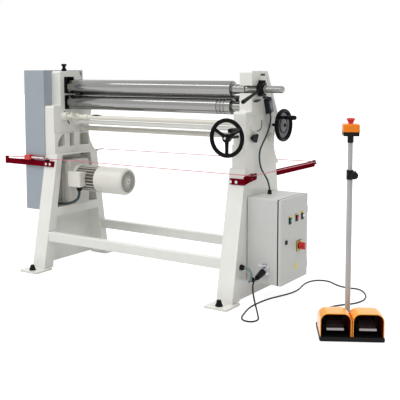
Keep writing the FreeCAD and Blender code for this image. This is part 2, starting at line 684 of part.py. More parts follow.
def trip_wire():
    """Safety wire from the pull switch round both pulleys to its eye at the rear."""
    r = PULLEY_R - 3.4
    y0, x1 = PULLEY_Y[0] - r, PULLEY_X + r
    eye = WIRE_EYE[:2]
    dx, dy = PULLEY_X - eye[0], PULLEY_Y[1] - eye[1]
    lean = math.atan2(dy, dx) + math.asin(r / math.hypot(dx, dy))
    end = (PULLEY_X - r * math.sin(lean), PULLEY_Y[1] + r * math.cos(lean))
    corner = (x1, end[1] + (x1 - end[0]) * math.tan(lean))
    short = 1 - (EYE_R + GAP) / math.hypot(corner[0] - eye[0], corner[1] - eye[1])
    end = [c + (e - c) * short for c, e in zip((*corner, WIRE_Z), WIRE_EYE)]
    points = [(-874, y0, 722), (-600, y0, WIRE_Z), (x1, y0, WIRE_Z), (*corner, WIRE_Z), end]
    wire = route(points, r)[0]
    start = Vec(*points[0])
    ring = Part.Wire(Part.makeCircle(1.6, start, Vec(*points[1]) - start))
    tube = wire.makePipeShell([ring], True, False)
    return tube if tube.ShapeType == "Solid" else Part.Solid(tube)


# ---------------------------------------------------------------- controls on the frame
def pinch_shaft():
    """Cross shaft of the lower roll's lift with its small lever."""
    y, z, r = PINCH_BAR
    shaft = bar_x(-756, 756, y, z, r)
    collar = bar_x(-585, -545, y, z, 21)
    lever = polygon([(-573, y - 8, z - 12), (-573, y - 60, z + 14), (-573, y - 62, z + 30),
                     (-573, y - 4, z + 16)], (14, 0, 0))
    stop = bar_x(-500, -470, y, z, 21)
    return fuse(shaft, collar, lever, stop)


def bending_shaft():
    """Cross shaft of the rear roll's lift with its end cap."""
    y, z, r = BEND_BAR
    return fuse(bar_x(-756, 778, y, z, r), bar_x(774.5, 786, y, z, 24))


def front_handwheel():
    """Three-spoked wheel with a round rim, its shaft and the grip's spindle."""
    cx, cy, cz = FRONT_WHEEL
    section = [(12 * math.sin(math.pi * k / 6), 98 + 12 * math.cos(math.pi * k / 6)) for k in range(12)]
    rim = lathe(section, (cx, cy, cz), (0, 1, 0))
    parts = [rod((cx, cy - 16, cz), (cx, cy + 24, cz), 24, 20), rod((cx, cy + 18, cz), (cx, -114, cz), WHEEL_SHAFT_R)]
    for a in (30, 150, 270):
        c, s = math.cos(math.radians(a)), math.sin(math.radians(a))
        parts.append(rod((cx + 14 * c, cy, cz + 14 * s), (cx + 96 * c, cy, cz + 96 * s), 10, 7.5))
    c, s = math.cos(math.radians(30)), math.sin(math.radians(30))
    gx, gz = cx + 101 * c, cz + 101 * s
    parts.append(rod((gx, cy - 2, gz), (gx, cy - 118, gz), 5))
    return fuse(rim, *parts)


def grip(point, axis, length=104.0):
    """Turned grip on a spindle: a waist, a long swell and a domed end."""
    bore = 5 + RUN
    outline = [(0, bore), (0, 9.5), (4, 10.5), (10, 8.5), (30, 11), (60, 13), (length - 14, 13.5),
               (length - 5, 11.5), (length, 6), (length, 0), (length - 3, 0), (length - 3, bore)]
    return lathe(outline, point, axis)


def front_grip():
    """Turning grip of the front wheel."""
    c, s = math.cos(math.radians(30)), math.sin(math.radians(30))
    cx, cy, cz = FRONT_WHEEL
    return grip((cx + 101 * c, cy - 13, cz + 101 * s), (0, -1, 0), 110)


def side_handwheel():
    """Dished wheel with a closed disc, its shaft and the grip's spindle."""
    cx, cy, cz = SIDE_WHEEL
    disc = lathe([(-14, 8), (-14, 20), (-3, 30), (-11, 58), (-9, 76), (-12, 88), (-8, 95), (2, 97), (12, 94),
                  (15, 86), (11, 78), (0, 70), (-5, 58), (4, 34), (10, 22), (10, 0), (0, 0), (-14, 0)],
                 (cx, cy, cz), (1, 0, 0))
    shaft = bar_x(706, cx + 3, cy, cz, WHEEL_SHAFT_R)
    hub = rod((cx - 15, cy, cz), (cx - 41, cy, cz), 22, 12)
    dy, dz = side_grip_offset()
    spindle = bar_x(cx + 5, cx + 105, cy + dy, cz + dz, 5)
    collar = bar_x(cx + 7, cx + 19, cy + dy, cz + dz, 12)
    return fuse(disc, shaft, hub, spindle, collar)


def side_grip_offset():
    """Offset (y, z) of the side wheel's grip from its shaft."""
    return -70.0, 50.0


def side_grip():
    """Turning grip of the side wheel."""
    dy, dz = side_grip_offset()
    cx, cy, cz = SIDE_WHEEL
    return grip((cx + 19 + GAP, cy + dy, cz + dz), (1, 0, 0), 99)


def journal_clamp():
    """Ring clamp round the top roll's journal with a top cap and a lever."""
    x0, x1 = HEAD_OUT + 2.5, HEAD_OUT + 34.0
    x = (x0 + x1) / 2
    ring = bar_x(x0, x1, ROLL_Y, TOP_Z, 41)
    cap = fuse(rod((x, ROLL_Y, TOP_Z + 30), (x, ROLL_Y, TOP_Z + 46), 14),
               rod((x, ROLL_Y, TOP_Z + 43), (x, ROLL_Y, TOP_Z + 52), 22, 19),
               rod((x, ROLL_Y, TOP_Z + 36), (x, ROLL_Y, TOP_Z + 43), 22))
    root = (x + 1, ROLL_Y - 28, TOP_Z - 7.5)
    knee = (x + 1, ROLL_Y - 84, TOP_Z - 22)
    tip = (x + 1, ROLL_Y - 216, TOP_Z - 65)
    lever = fuse(rod(root, knee, 9, 8), rod(knee, tip, 8, 12), Part.makeSphere(12, Vec(*tip)),
                 Part.makeSphere(8, Vec(*knee)))
    flat = box(700, x0, ROLL_Y - 60, ROLL_Y + 60, TOP_Z, TOP_Z + 80)
    return cut(fuse(ring, cap, lever), bar_x(700, 900, ROLL_Y, TOP_Z, 20.5 + RUN), flat)


def limit_switch():
    """Switch that feels the clamp, on its bracket, and the stop bar beside it."""
    body = box(776, 804, -21, 21, -42, 42)
    body = round_off(body, 4, along((1, 0, 0)))
    head_part = box(776, 804, -19, 17, 40, 50)
    plate = box(HEAD_OUT, 777, -24, 24, -46, 46)
    turret = bar_x(776, 792, 0, 47, 11)
    neck = rod((790, 0, -41), (790, 0, -47), 9, 7)
    unit = fuse(body, head_part, plate, turret, neck)
    unit.rotate(Vec(790, 0, 0), Vec(1, 0, 0), 18)
    unit.translate(Vec(0, 56, 1108))
    unit = cut(unit, box(791.7, 820, -20, 50, 1136, 1180))
    pin = bar_x(776, 803, 34, 1148, 4)
    bar = polygon([(HEAD_OUT, -100, 1134), (HEAD_OUT, -100, 1143), (HEAD_OUT, -62, 1150), (HEAD_OUT, -61, 1143)],
                  (26, 0, 0))
    return Part.makeCompound([fuse(unit, pin), bar])


def switch_lever():
    """Roller lever of the limit switch, resting just under the clamp."""
    py, pz, ry, rz = 34.0, 1148.0, -14.0, 1159.6
    arm = polygon([(793, py + 5, pz - 6), (793, ry + 3, rz - 4.5), (793, ry - 3, rz + 4), (793, py - 3, pz + 6)],
                  (6, 0, 0))
    boss = bar_x(792, 800, py, pz, 8.5)
    roller = bar_x(790, 802, ry, rz, 7)
    return cut(fuse(arm, boss, roller), bar_x(780, 810, py, pz, 4 + RUN))


def top_knob():
    """Spool-shaped knob on the left head."""
    return lathe([(0, 0), (0, 6), (18.3, 6), (18.3, 15), (24, 18), (31, 18), (36, 11), (50, 11), (54, 18),
                  (64, 18), (67, 15), (67, 0)], (-734, -40, 1292), (0, 0, 1))


def lock_knob():
    """Pointer-shaped lock knob on the right head."""
    y, z = LOCK_KNOB
    stem = lathe([(0, 0), (0, 6), (16.3, 6), (16.3, 15), (24, 13), (24, 0)], (HEAD_OUT - 16, y, z), (1, 0, 0))
    wing = side_plate([(y - 50, z + 2), (y + 29, z + 24), (y + 7, z - 32)], HEAD_OUT + 6, HEAD_OUT + 24)
    return fuse(stem, round_off(wing, 7, along((1, 0, 0))))


# ---------------------------------------------------------------- cabinet
def cabinet_body():
    """Sheet-metal cabinet with a mounting plate, back rails and hinge lugs."""
    x0, x1, y0, y1, z0, z1 = CABINET
    outer = round_off(box(x0, x1, y0, y1, z0, z1), 6, along((1, 0, 0)))
    inner = box(x0 + 3, x1 + 5, y0 + 3, y1 - 3, z0 + 3, z1 - 3)
    shell = cut(outer, inner)
    rails = [box(HEAD_OUT, x0 + 1, -150, -110, 150, 560), box(HEAD_OUT, x0 + 1, 100, 140, 150, 560)]
    plate = box(x0 + 2, x0 + 8, y0 + 25, y1 - 25, z0 + 30, z1 - 30)
    flange = cut(box(x1 - 3, x1, y0 + 1, y1 - 1, z0 + 1, z1 - 1), box(x1 - 9, x1 + 9, y0 + 16, y1 - 16,
                                                                   z0 + 16, z1 - 16))
    gear_inside = [box(x0 + 7, x0 + 60, -110, -50, 430, 520), box(x0 + 7, x0 + 70, -30, 60, 420, 530),
                   box(x0 + 7, x0 + 50, -110, 100, 300, 360), box(x0 + 7, x0 + 45, -100, 90, 190, 240)]
    lugs = []
    for z in (180, 500):
        lugs.append(box(x1 - 24, x1 - 2, y1 - 1, y1 + 7, z + 0.3, z + 22))
        lugs.append(box(x1 - 10, x1 + 16, y1 + 3, y1 + 9, z + 0.3, z + 22))
        lugs.append(rod((985, y1 + 9, z + 0.3), (985, y1 + 9, z + 22), 6))
        lugs.append(rod((985, y1 + 9, z - 19), (985, y1 + 9, z + 10), 2.5))
    return fuse(shell, plate, flange, *rails, *gear_inside, *lugs)


def cabinet_door():
    """Pan-shaped door with hinge knuckles and holes for its fittings."""
    y0, y1, z0, z1 = CABINET[2:]
    outer = round_off(box(DOOR_X[0], DOOR_X[1], y0 - 1, y1 + 1, z0 - 1, z1 + 1), 6, along((1, 0, 0)))
    pan = cut(outer, box(DOOR_X[0] - 5, DOOR_X[1] - 3, y0 + 3, y1 - 3, z0 + 3, z1 - 3))
    knuckles = []
    for z in (180, 500):
        arm = box(977.5, 990, y1 - 2, y1 + 9, z - 20, z - 0.3)
        knuckles.append(cut(fuse(arm, rod((985, y1 + 9, z - 20), (985, y1 + 9, z - 0.3), 6)),
                            rod((985, y1 + 9, z - 30), (985, y1 + 9, z + 5), 2.5 + RUN)))
    body = fuse(pan, *knuckles)
    holes = [bar_x(970, 1000, y, z, 11) for y, z in ((-61, 472), (23, 476))]
    holes.append(bar_x(970, 1000, 54, 307, 6 + RUN))
    holes.append(bar_x(970, 1000, -108, 352, 9 + RUN))
    return cut(body, *holes)


def panel_fittings():
    """Bezels of the buttons, the lamp, the switch plate and the warning plates."""
    x = DOOR_X[1]
    pieces = []
    for y, z in ((-61, 472), (23, 476)):
        ring = lathe([(-12, 10.8), (0, 10.8), (0, 15), (8, 14), (8, 11.2), (-1, 11.2), (-1, 9.6), (-12, 9.6)],
                     (x, y, z), (1, 0, 0))
        pieces.append(ring)
    pieces.append(lathe([(0, 0), (0, 15), (6, 14), (6, 11), (12, 10), (15, 6), (15, 0)], (x, 97, 476), (1, 0, 0)))
    plate = round_off(box(x, x + 4, 24, 84, 277, 337), 5, along((1, 0, 0)))
    pieces.append(cut(fuse(plate, bar_x(x, x + 9, 54, 307, 24)), bar_x(x - 5, x + 20, 54, 307, 6 + RUN)))
    pieces.append(side_plate([(-8, 178), (40, 178), (16, 220)], x, x + 0.8))
    return Part.makeCompound(pieces)


def push_button(y, z, crown=0.0):
    """Push button that slides in its bezel."""
    x = DOOR_X[1]
    return lathe([(-10, 0), (-10, 9.3), (4.8, 9.3), (4.8, 10.8), (10, 10.4), (11 + crown, 8), (11 + crown, 0)],
                 (x, y, z), (1, 0, 0))


def main_switch():
    """Rotary handle of the main switch on its spindle."""
    x = DOOR_X[1]
    disc = bar_x(x + 9.3, x + 17, 54, 307, 21)
    blade = round_off(box(x + 16, x + 34, 46, 62, 286, 328), 5, along((1, 0, 0)))
    return fuse(disc, blade, bar_x(x - 20, x + 12, 54, 307, 6))


def door_lock():
    """Quarter-turn lock with its cam behind the door."""
    x = DOOR_X[1]
    barrel = bar_x(x - 14, x + 2, -108, 352, 9)
    flange = cut(bar_x(x + 0.3, x + 5, -108, 352, 13), box(x + 2.5, x + 9, -110, -106, 345, 359))
    cam = box(x - 14, x - 11, -114, -102, 328, 360)
    return fuse(barrel, flange, cam)


SOCKET_TILT = 16.0


def socket_point(s, up=0.0):
    """Point at distance s along the tilted socket's axis."""
    a = math.radians(SOCKET_TILT)
    return (897.0, -178 - s * math.cos(a) + up * math.sin(a) * -1, 196 - s * math.sin(a) + up * math.cos(a))


def cable_socket():
    """Angled panel socket for the pedal unit's plug."""
    flange = round_off(box(872, 922, -175, -170, 170, 224), 6, along((0, 1, 0)))
    barrel = fuse(rod(socket_point(-9), socket_point(22), 20))
    keep = box(840, 960, -300, -170, 100, 300)
    hinge = box(888, 906, -190, -174, 220, 230)
    body = fuse(flange, barrel.common(keep), hinge)
    body = cut(body, rod(socket_point(2), socket_point(40), 16))
    return fuse(body, bar_x(884, 910, -186, 226, 2.4))


def socket_flap():
    """Sprung flap over the socket, held open by the plug."""
    knuckles = [bar_x(884.0, 887.7, -186, 226, 5), bar_x(906.3, 910, -186, 226, 5)]
    lid = polygon([(882, -189, 228), (882, -232, 234), (882, -232, 238), (882, -187, 231)], (30, 0, 0))
    bridge = [box(884.0, 887.7, -190, -183, 226, 231), box(906.3, 910, -190, -183, 226, 231)]
    lid = cut(lid, box(887.7, 906.3, -191, -180, 215, 232))
    return cut(fuse(lid, *knuckles, *bridge), bar_x(880, 915, -186, 226, 2.4 + RUN))


def pedal_plug():
    """Plug on the end of the pedal unit's cable."""
    parts = [rod(socket_point(3), socket_point(24), 15.6), rod(socket_point(22.5), socket_point(40), 19),
             rod(socket_point(40), socket_point(92), 19, 14), rod(socket_point(92), socket_point(108), 10, 8)]
    return fuse(*parts)


def pedal_cable():
    """Cable from the plug to the pedal unit, laid on the floor."""
    return cord("pedal cable", pedal_cable_path(), 4.6)


# ---------------------------------------------------------------- pedal unit and pole
def pedal_place(shape):
    """Move a shape from the pedal unit's own axes to its place on the floor."""
    shape.rotate(Vec(0, 0, 0), Vec(0, 0, 1), PEDAL_TURN)
    shape.translate(Vec(*PEDAL_CORNER, 0))
    return shape


def pedal_base():
    """Base plate with the two switch blocks and the pedals' pivots."""
    w, d, h = PEDAL_SIZE
    plate = round_off(box(0, w, 0, d, 3, h), 8, along((0, 0, 1)))
    feet = [rod((u, v, 0), (u, v, 6), 10) for u in (22, w - 22) for v in (24, d - 24)]
    blocks = []
    for u in (18, w - 140):
        blocks.append(box(u + 8, u + 114, 100, 165, h, h + 34))
        for e in (u + 10, u + 104):
            blocks.append(box(e, e + 8, 118, 146, h + 30, h + 66))
    pins = [bar_x(u + 11, u + 111, 132, h + 52, 3) for u in (18, w - 140)]
    socket = rod((158, 206, h - 2), (158, 206, h + 26), 23)
    socket = cut(socket, rod((158, 206, h), (158, 206, h + 30), 14.0 + RUN))
    gland = rod((100, 232, 13), (100, 252, 13), 10, 8)
    return pedal_place(fuse(plate, *feet, *blocks, *pins, socket, gland))


def hood(u):
    """One arched hood, open to the front and closed behind."""
    w, d, h = 152.0, 182.0, 116.0
    outer = round_off(box(u, u + w, 6, d, 27, 27 + h), 40, lambda e: along((0, 1, 0))(e)
                      and e.CenterOfMass.z > 100)
    inner = round_off(box(u + 7, u + w - 7, -10, d - 6, 20, 27 + h - 7), 34,
                      lambda e: along((0, 1, 0))(e) and e.CenterOfMass.z > 100)
    shell = cut(outer, inner)
    slope = polygon([(u - 5, 100, 27 + h + 1), (u - 5, d + 1, 27 + h + 1), (u - 5, d + 1, 27 + h - 22)],
                    (w + 10, 0, 0))
    backing = box(u + 1, u + w - 1, d - 12, d, 27, 27 + h - 30)
    return fuse(cut(shell, slope), roof_patch(u, w, d, h), backing)


def roof_patch(u, w, d, h):
    """Sloping rear part of a hood's roof."""
    return polygon([(u + 30, 98, 27 + h - 7), (u + 30, 100, 27 + h - 0.4), (u + 30, d - 0.5, 27 + h - 22.4),
                    (u + 30, d - 0.5, 27 + h - 29)], (w - 60, 0, 0))


def pedal_hoods():
    """Pair of guards over the pedals."""
    return Part.makeCompound([pedal_place(hood(u)) for u in (3.5, PEDAL_SIZE[0] - 155.5)])


def pedal(u):
    """Treadle that pivots on the switch block."""
    h = PEDAL_SIZE[2]
    pad = polygon([(u + 19, 30, h + 25), (u + 19, 34, h + 33), (u + 19, 120, h + 59), (u + 19, 148, h + 59),
                   (u + 19, 148, h + 46), (u + 19, 120, h + 48)], (84, 0, 0))
    ribs = [box(u + 24 + 12 * k, u + 28 + 12 * k, 36, 44, h + 30, h + 37.5) for k in range(7)]
    body = cut(fuse(pad, *ribs), bar_x(u - 10, u + 140, 132, h + 52, 3 + RUN))
    return pedal_place(body)


def pole_lower():
    """Lower tube of the pole with its split clamp collar."""
    tube = cut(rod((158, 206, 28), (158, 206, 800), 14.0), rod((158, 206, 40), (158, 206, 810), 12.3))
    collar = rod((158, 206, 770), (158, 206, 818), 17.5)
    ear = box(158, CLAMP_SCREW[0] + 13, 199, 213, 776, 812)
    body = fuse(tube, collar, ear)
    slot = box(158, CLAMP_SCREW[0] + 24, 205, 207, 765, 830)
    bore = rod((158, 206, 700), (158, 206, 830), 12.3)
    u, z = CLAMP_SCREW
    screw = rod((u, 226, z), (u, 180, z), 4 + RUN)
    return pedal_place(cut(body, bore, slot, screw))


def clamp_knob():
    """Knob and screw that close the pole's collar."""
    body = lathe([(0, 0), (0, 4), (38, 4), (38, 15), (46, 19), (58, 19), (64, 14), (64, 0)],
                 (CLAMP_SCREW[0], 224, CLAMP_SCREW[1]), (0, -1, 0))
    return pedal_place(body)


def pole_upper():
    """Upper tube that slides in the lower one, with the socket for the box."""
    tube = rod((158, 206, 560), (158, 206, 960), 12.2)
    neck = rod((158, 206, 955), (158, 206, 989), 15.5)
    return pedal_place(fuse(tube, neck))


def estop_box():
    """Housing of the emergency stop."""
    lower = round_off(box(117, 199, 164, 248, 989, 1009), 8, along((0, 0, 1)))
    upper = round_off(box(117, 199, 164, 248, 1009, 1049), 8, along((0, 0, 1)))
    collar = rod((158, 206, 1045), (158, 206, 1053), 20)
    return pedal_place(cut(fuse(lower, upper, collar), rod((158, 206, 1018), (158, 206, 1060), 12.3)))


def estop_button():
    """Mushroom button of the emergency stop."""
    body = lathe([(0, 0), (0, 12), (34, 12), (34, 16), (41, 21.5), (46, 21.5), (51, 16), (52, 0)],
                 (158, 206, 1028), (0, 0, 1))
    return pedal_place(body)


# ---------------------------------------------------------------- safety wire hardware
def wire_brackets():
    """Flat bars and angle brackets that carry the pull switch, the guide and the pulleys."""
    z0, z1 = 675.0, 712.0
    pad = side_plate([(-210, z0), (-210, z1), (front_line(z1), z1), (front_line(z0), z0)], -HEAD_OUT, -686)
    left = [pad, box(-1133, -686, -210, -203.5, z0, z1), box(-1133, -1110, -214, -203.5, z0, z1 + 14),
            box(-985, -862, -226, -203.5, z1 - 1, z1 + 2), rod((-745, -205.5, z1 - 6), (-745, -205.5, 732), 4),
            rod((-745, -205.5, 714), (-745, -205.5, 726), 8.5),
            rod((-745, -209, 693), (-745, -216, 693), 8), rod((-710, -209, 693), (-710, -216, 693), 8)]
    z0, z1 = 670.0, 704.0
    px, (py, ry) = PULLEY_X, PULLEY_Y
    wedge = side_plate([(-208, z0), (-208, z1), (front_line(z1), z1), (front_line(z0), z0)], 682, HEAD_OUT)
    side = polygon([(HEAD_OUT, -208, z0), (HEAD_OUT, -208, 718), (HEAD_OUT, -160, 724), (HEAD_OUT, -66, 724),
                    (HEAD_OUT, -66, 690), (HEAD_OUT, -150, 680)], (6, 0, 0))
    arm = polygon([(777, -200, 714), (777, -160, 714), (812, -190, 714), (842, -198, 714), (842, -214, 714),
                   (812, -216, 714)], (0, 0, 5))
    right = [wedge, side, arm, rod((692, -207, 686), (692, -214, 686), 8),
             rod((729, -207, 686), (729, -214, 686), 8)]
    bar = [box(730, 776, 192, 214, 686, 718), box(HEAD_OUT, 781, 190, 712, 684, 722),
           box(776, 842, ry - 12, ry + 12, 714, 719)]
    for pieces, y in ((right, py), (bar, ry)):
        pieces.append(rod((px, y, 714), (px, y, 741), 4))
        pieces.append(rod((px, y, 714), (px, y, 721), 7))
        pieces.append(rod((px, y, 737.4), (px, y, 741), 7))
    back = [(rear_line(747), 747), (rear_line(747) + 7, 747), (rear_line(759) + 7, 759), (rear_line(759), 759)]
    centre = Vec(*WIRE_EYE)
    ring = cut(rod(centre - Vec(0, 0, 2.2), centre + Vec(0, 0, 2.2), EYE_R),
               rod(centre - Vec(0, 0, 5), centre + Vec(0, 0, 5), EYE_R - 4.4))
    root = Vec(-700, rear_line(753) + 3, 755)
    hook = rod(root, centre - (centre - root).normalize() * (EYE_R - 2), 3)
    eye = [side_plate(back, -720, -668), hook, ring]
    return Part.makeCompound([fuse(*left), fuse(*right), fuse(*bar), fuse(*eye)])


def pull_switch():
    """Pull switch of the safety wire with its spring frame and guide disc."""
    body = round_off(box(-936, -886, -226, -196, 714, 746), 6, along((0, 1, 0)))
    nose = rod((-887, PULLEY_Y[0] - 10.6, 722), (-876, PULLEY_Y[0] - 10.6, 722), 8, 5)
    tail = rod((-935, -207, 728), (-953, -207, 728), 5)
    lead = rod((-952, -207, 728), (-1110, -207, 724), 3)
    frame = [rod((-884, -204, 742), (-764, -204, 742), 2), box(-889, -880, -210, -200, 736, 745)]
    return fuse(body, nose, tail, lead, *frame)


def pulley(x, y):
    """Small grooved wheel on an upright stud."""
    body = lathe([(0, 4 + RUN), (0, 14), (3, 14), (6, 8.8), (9.8, 8.8), (12.8, 14), (15.8, 14), (15.8, 4 + RUN)],
                 (x, y, 721.3), (0, 0, 1))
    return body


BUILD = [
    ("left_leg_frame", lambda: leg_frame(-1)), ("right_leg_frame", lambda: leg_frame(1)),
    ("left_head", lambda: head(-1)), ("right_head", lambda: head(1)),
    ("cross_ties", cross_ties), ("frame_bolts", frame_bolts), ("gear_cover", gear_cover),
    ("top_roll", top_roll), ("lower_roll", lower_roll), ("rear_roll", rear_roll),
    ("swivel_block", swivel_block), ("lower_roll_blocks", lower_roll_blocks),
    ("rear_roll_blocks", rear_roll_blocks), ("top_gear", top_gear), ("lower_gear", lower_gear),
    ("upper_idler", lambda: idler("upper")), ("lower_idler", lambda: idler("lower")),
    ("output_pinion", output_pinion), ("gearbox", gearbox), ("motor_body", motor_body),
    ("motor_rotor", motor_rotor), ("fan_cowl", fan_cowl), ("wiring", wiring),
    ("cable_glands", cable_glands), ("pinch_shaft", pinch_shaft), ("bending_shaft", bending_shaft),
    ("front_handwheel", front_handwheel), ("front_grip", front_grip),
    ("side_handwheel", side_handwheel), ("side_grip", side_grip),
    ("journal_clamp", journal_clamp), ("limit_switch", limit_switch), ("switch_lever", switch_lever),
    ("top_knob", top_knob), ("lock_knob", lock_knob), ("cabinet_body", cabinet_body),
    ("cabinet_door", cabinet_door), ("door_lock", door_lock), ("main_switch", main_switch),
    ("panel_fittings", panel_fittings), ("green_button", lambda: push_button(-61, 472)),
    ("red_button", lambda: push_button(23, 476, 2.0)), ("cable_socket", cable_socket),
    ("socket_flap", socket_flap), ("pedal_plug", pedal_plug), ("pedal_cable", pedal_cable),
    ("pedal_base", pedal_base), ("pedal_hoods", pedal_hoods), ("left_pedal", lambda: pedal(18.0)),
    ("right_pedal", lambda: pedal(PEDAL_SIZE[0] - 140.0)), ("pole_lower", pole_lower),
    ("pole_upper", pole_upper), ("clamp_knob", clamp_knob), ("estop_box", estop_box),
    ("estop_button", estop_button), ("wire_brackets", wire_brackets), ("pull_switch", pull_switch),
    ("front_pulley", lambda: pulley(PULLEY_X, PULLEY_Y[0])), ("rear_pulley", lambda: pulley(PULLEY_X, PULLEY_Y[1])),
    ("trip_wire", trip_wire),
]


def main():
    """Build every piece and write it as a STEP file named after its node."""
    os.makedirs("parts", exist_ok=True)
    total = 0
    for node, make in BUILD:
        shape = make()
        solids = shape.Solids
        facets = len(shape.tessellate(0.5)[1])
        total += facets
        box_ = shape.BoundBox
        print("%-18s solids %d valid %s vol %.0f facets %d  x %.1f..%.1f y %.1f..%.1f z %.1f..%.1f" % (
            node, len(solids), shape.isValid(), shape.Volume, facets, box_.XMin, box_.XMax,
            box_.YMin, box_.YMax, box_.ZMin, box_.ZMax))
        keep = solids[0] if len(solids) == 1 else Part.makeCompound(solids)
        keep.exportStep("parts/%s.step" % node)
    print("pieces", len(BUILD), "facets", total)


main()
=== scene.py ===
"""Slip roll machine: surfaces, fine detail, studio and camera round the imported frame.

Every length is in metres, in the frame of the CAD model: +X along the rolls to the
operator's right, +Y to the rear, +Z up, origin on the floor between the anchor holes.
"""

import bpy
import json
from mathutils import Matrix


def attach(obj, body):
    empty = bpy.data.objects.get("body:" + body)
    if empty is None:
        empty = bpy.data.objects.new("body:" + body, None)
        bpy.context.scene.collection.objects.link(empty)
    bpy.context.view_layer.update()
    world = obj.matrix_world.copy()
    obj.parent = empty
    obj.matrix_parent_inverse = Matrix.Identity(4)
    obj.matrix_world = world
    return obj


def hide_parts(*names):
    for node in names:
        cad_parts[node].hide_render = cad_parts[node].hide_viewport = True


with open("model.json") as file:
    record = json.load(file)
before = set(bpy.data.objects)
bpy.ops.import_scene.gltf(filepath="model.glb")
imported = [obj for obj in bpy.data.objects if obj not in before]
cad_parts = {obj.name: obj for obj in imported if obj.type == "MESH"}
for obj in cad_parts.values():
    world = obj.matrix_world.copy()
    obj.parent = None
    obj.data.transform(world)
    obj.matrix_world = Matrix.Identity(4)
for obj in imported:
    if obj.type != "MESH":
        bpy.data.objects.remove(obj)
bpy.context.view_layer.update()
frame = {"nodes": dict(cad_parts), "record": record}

import json
import logging
import math
from collections.abc import Callable, Iterator, Sequence
from contextlib import contextmanager
from dataclasses import dataclass
from enum import Enum
from typing import Any

import bpy
from mathutils import Matrix, Vector

log = logging.getLogger("slip_roll")
Colour = tuple[float, float, float]
Point = Sequence[float]
Pair = tuple[float, float]
Pairs = Sequence[Pair]
Piece = bpy.types.Object
FULL_TURN = 2 * math.pi
RIGHT, REAR, UP = (1, 0, 0), (0, 1, 0), (0, 0, 1)
LEFT, FRONT, DOWN = (-1, 0, 0), (0, -1, 0), (0, 0, -1)
WHITE = (1.0, 1.0, 1.0)
MERGE = 2e-6
SIDES = ("left", "right")
NODES = frame["nodes"]
BODY_OF = {n: body for body, members in frame["record"]["behaviour"]["bodies"].items() for n in members}


# ------------------------------------------------------------------ shader maths
class Sock:
    """Output socket of a shader node; adding or multiplying it adds Math nodes."""

    def __init__(self, tree: "Tree", socket: bpy.types.NodeSocket) -> None:
        """Wraps a socket of a tree."""
        self.tree = tree
        self.socket = socket

    def _math(self, operation: str, first: Any, second: Any) -> "Sock":
        """Adds one Math node on two values."""
        return self.tree.add("Math", {"operation": operation}, {0: first, 1: second})

    def __add__(self, other: Any) -> "Sock":
        """Sum."""
        return self._math("ADD", self, other)

    def __rsub__(self, other: Any) -> "Sock":
        """Difference from a number."""
        return self._math("SUBTRACT", other, self)

    def __mul__(self, other: Any) -> "Sock":
        """Product."""
        return self._math("MULTIPLY", self, other)

    def spread(self, low: float, high: float, to_low: float = 0.0, to_high: float = 1.0) -> "Sock":
        """Clamped linear map of low..high to to_low..to_high."""
        return self.tree.add("MapRange", {"clamp": True}, {0: self, 1: low, 2: high, 3: to_low, 4: to_high})


class Tree:
    """Node tree of one material or of the world."""

    def __init__(self, nodes: bpy.types.NodeTree) -> None:
        """Empties the tree and keeps it."""
        self.nodes = nodes
        nodes.nodes.clear()

    def add(self, kind: str, settings: dict[str, Any] | None = None,
            inputs: dict[Any, Any] | None = None, out: int | str = 0) -> Sock | None:
        """Adds a node.

        Args:
            kind: Node type without its "ShaderNode" prefix.
            settings: Attributes set first.
            inputs: Values or Sock links by input name or number.
            out: Name or number of the output to return.

        Returns:
            The chosen output, or None for a node without outputs.
        """
        node = self.nodes.nodes.new("ShaderNode" + kind)
        for key, value in (settings or {}).items():
            setattr(node, key, value)
        for key, value in (inputs or {}).items():
            if isinstance(value, Sock):
                self.nodes.links.new(value.socket, node.inputs[key])
            elif node.inputs[key].type == "RGBA":
                node.inputs[key].default_value = (*value, 1.0)
            else:
                node.inputs[key].default_value = value
        return Sock(self, node.outputs[out]) if len(node.outputs) else None

    def place(self) -> Sock:
        """Object coordinates of the surface."""
        return self.add("TexCoord", out="Object")

    def noise(self, vector: Sock, scale: float, detail: float = 2.0, stretch: Point = (1, 1, 1)) -> Sock:
        """Noise with cells of 1/scale metres, drawn out where stretch is small."""
        spot = self.add("Mapping", {}, {"Vector": vector, "Scale": Vector(stretch)})
        return self.add("TexNoise", {}, {"Vector": spot, "Scale": scale, "Detail": detail}, "Fac")

    def blend(self, factor: Any, first: Any, second: Any) -> Sock:
        """Mix of two colours."""
        return self.add("Mix", {"data_type": "RGBA"}, {0: factor, 6: first, 7: second}, 2)


class Grain(Enum):
    """Surface texture of a finish: noise scale per metre, share of height, stretch along X, Y, Z."""

    ENAMEL = ((170.0, 0.5, (1, 1, 1)), (14.0, 0.7, (1, 1, 1)))
    CAST = ((300.0, 0.8, (1, 1, 1)), (34.0, 2.4, (1, 1, 1)))
    POWDER = ((620.0, 1.0, (1, 1, 1)), (90.0, 0.3, (1, 1, 1)))
    TURNED = ((1100.0, 0.3, (1, 0.01, 0.01)), (70.0, 0.25, (1, 0.01, 0.01)))
    GROUND = ((520.0, 0.35, (1, 1, 1)), (60.0, 0.2, (1, 1, 1)))
    MOULDED = ((900.0, 0.35, (1, 1, 1)), (40.0, 0.25, (1, 1, 1)))
    SHEET = ((60.0, 0.4, (1, 1, 1)), (7.0, 1.2, (1, 1, 1)))


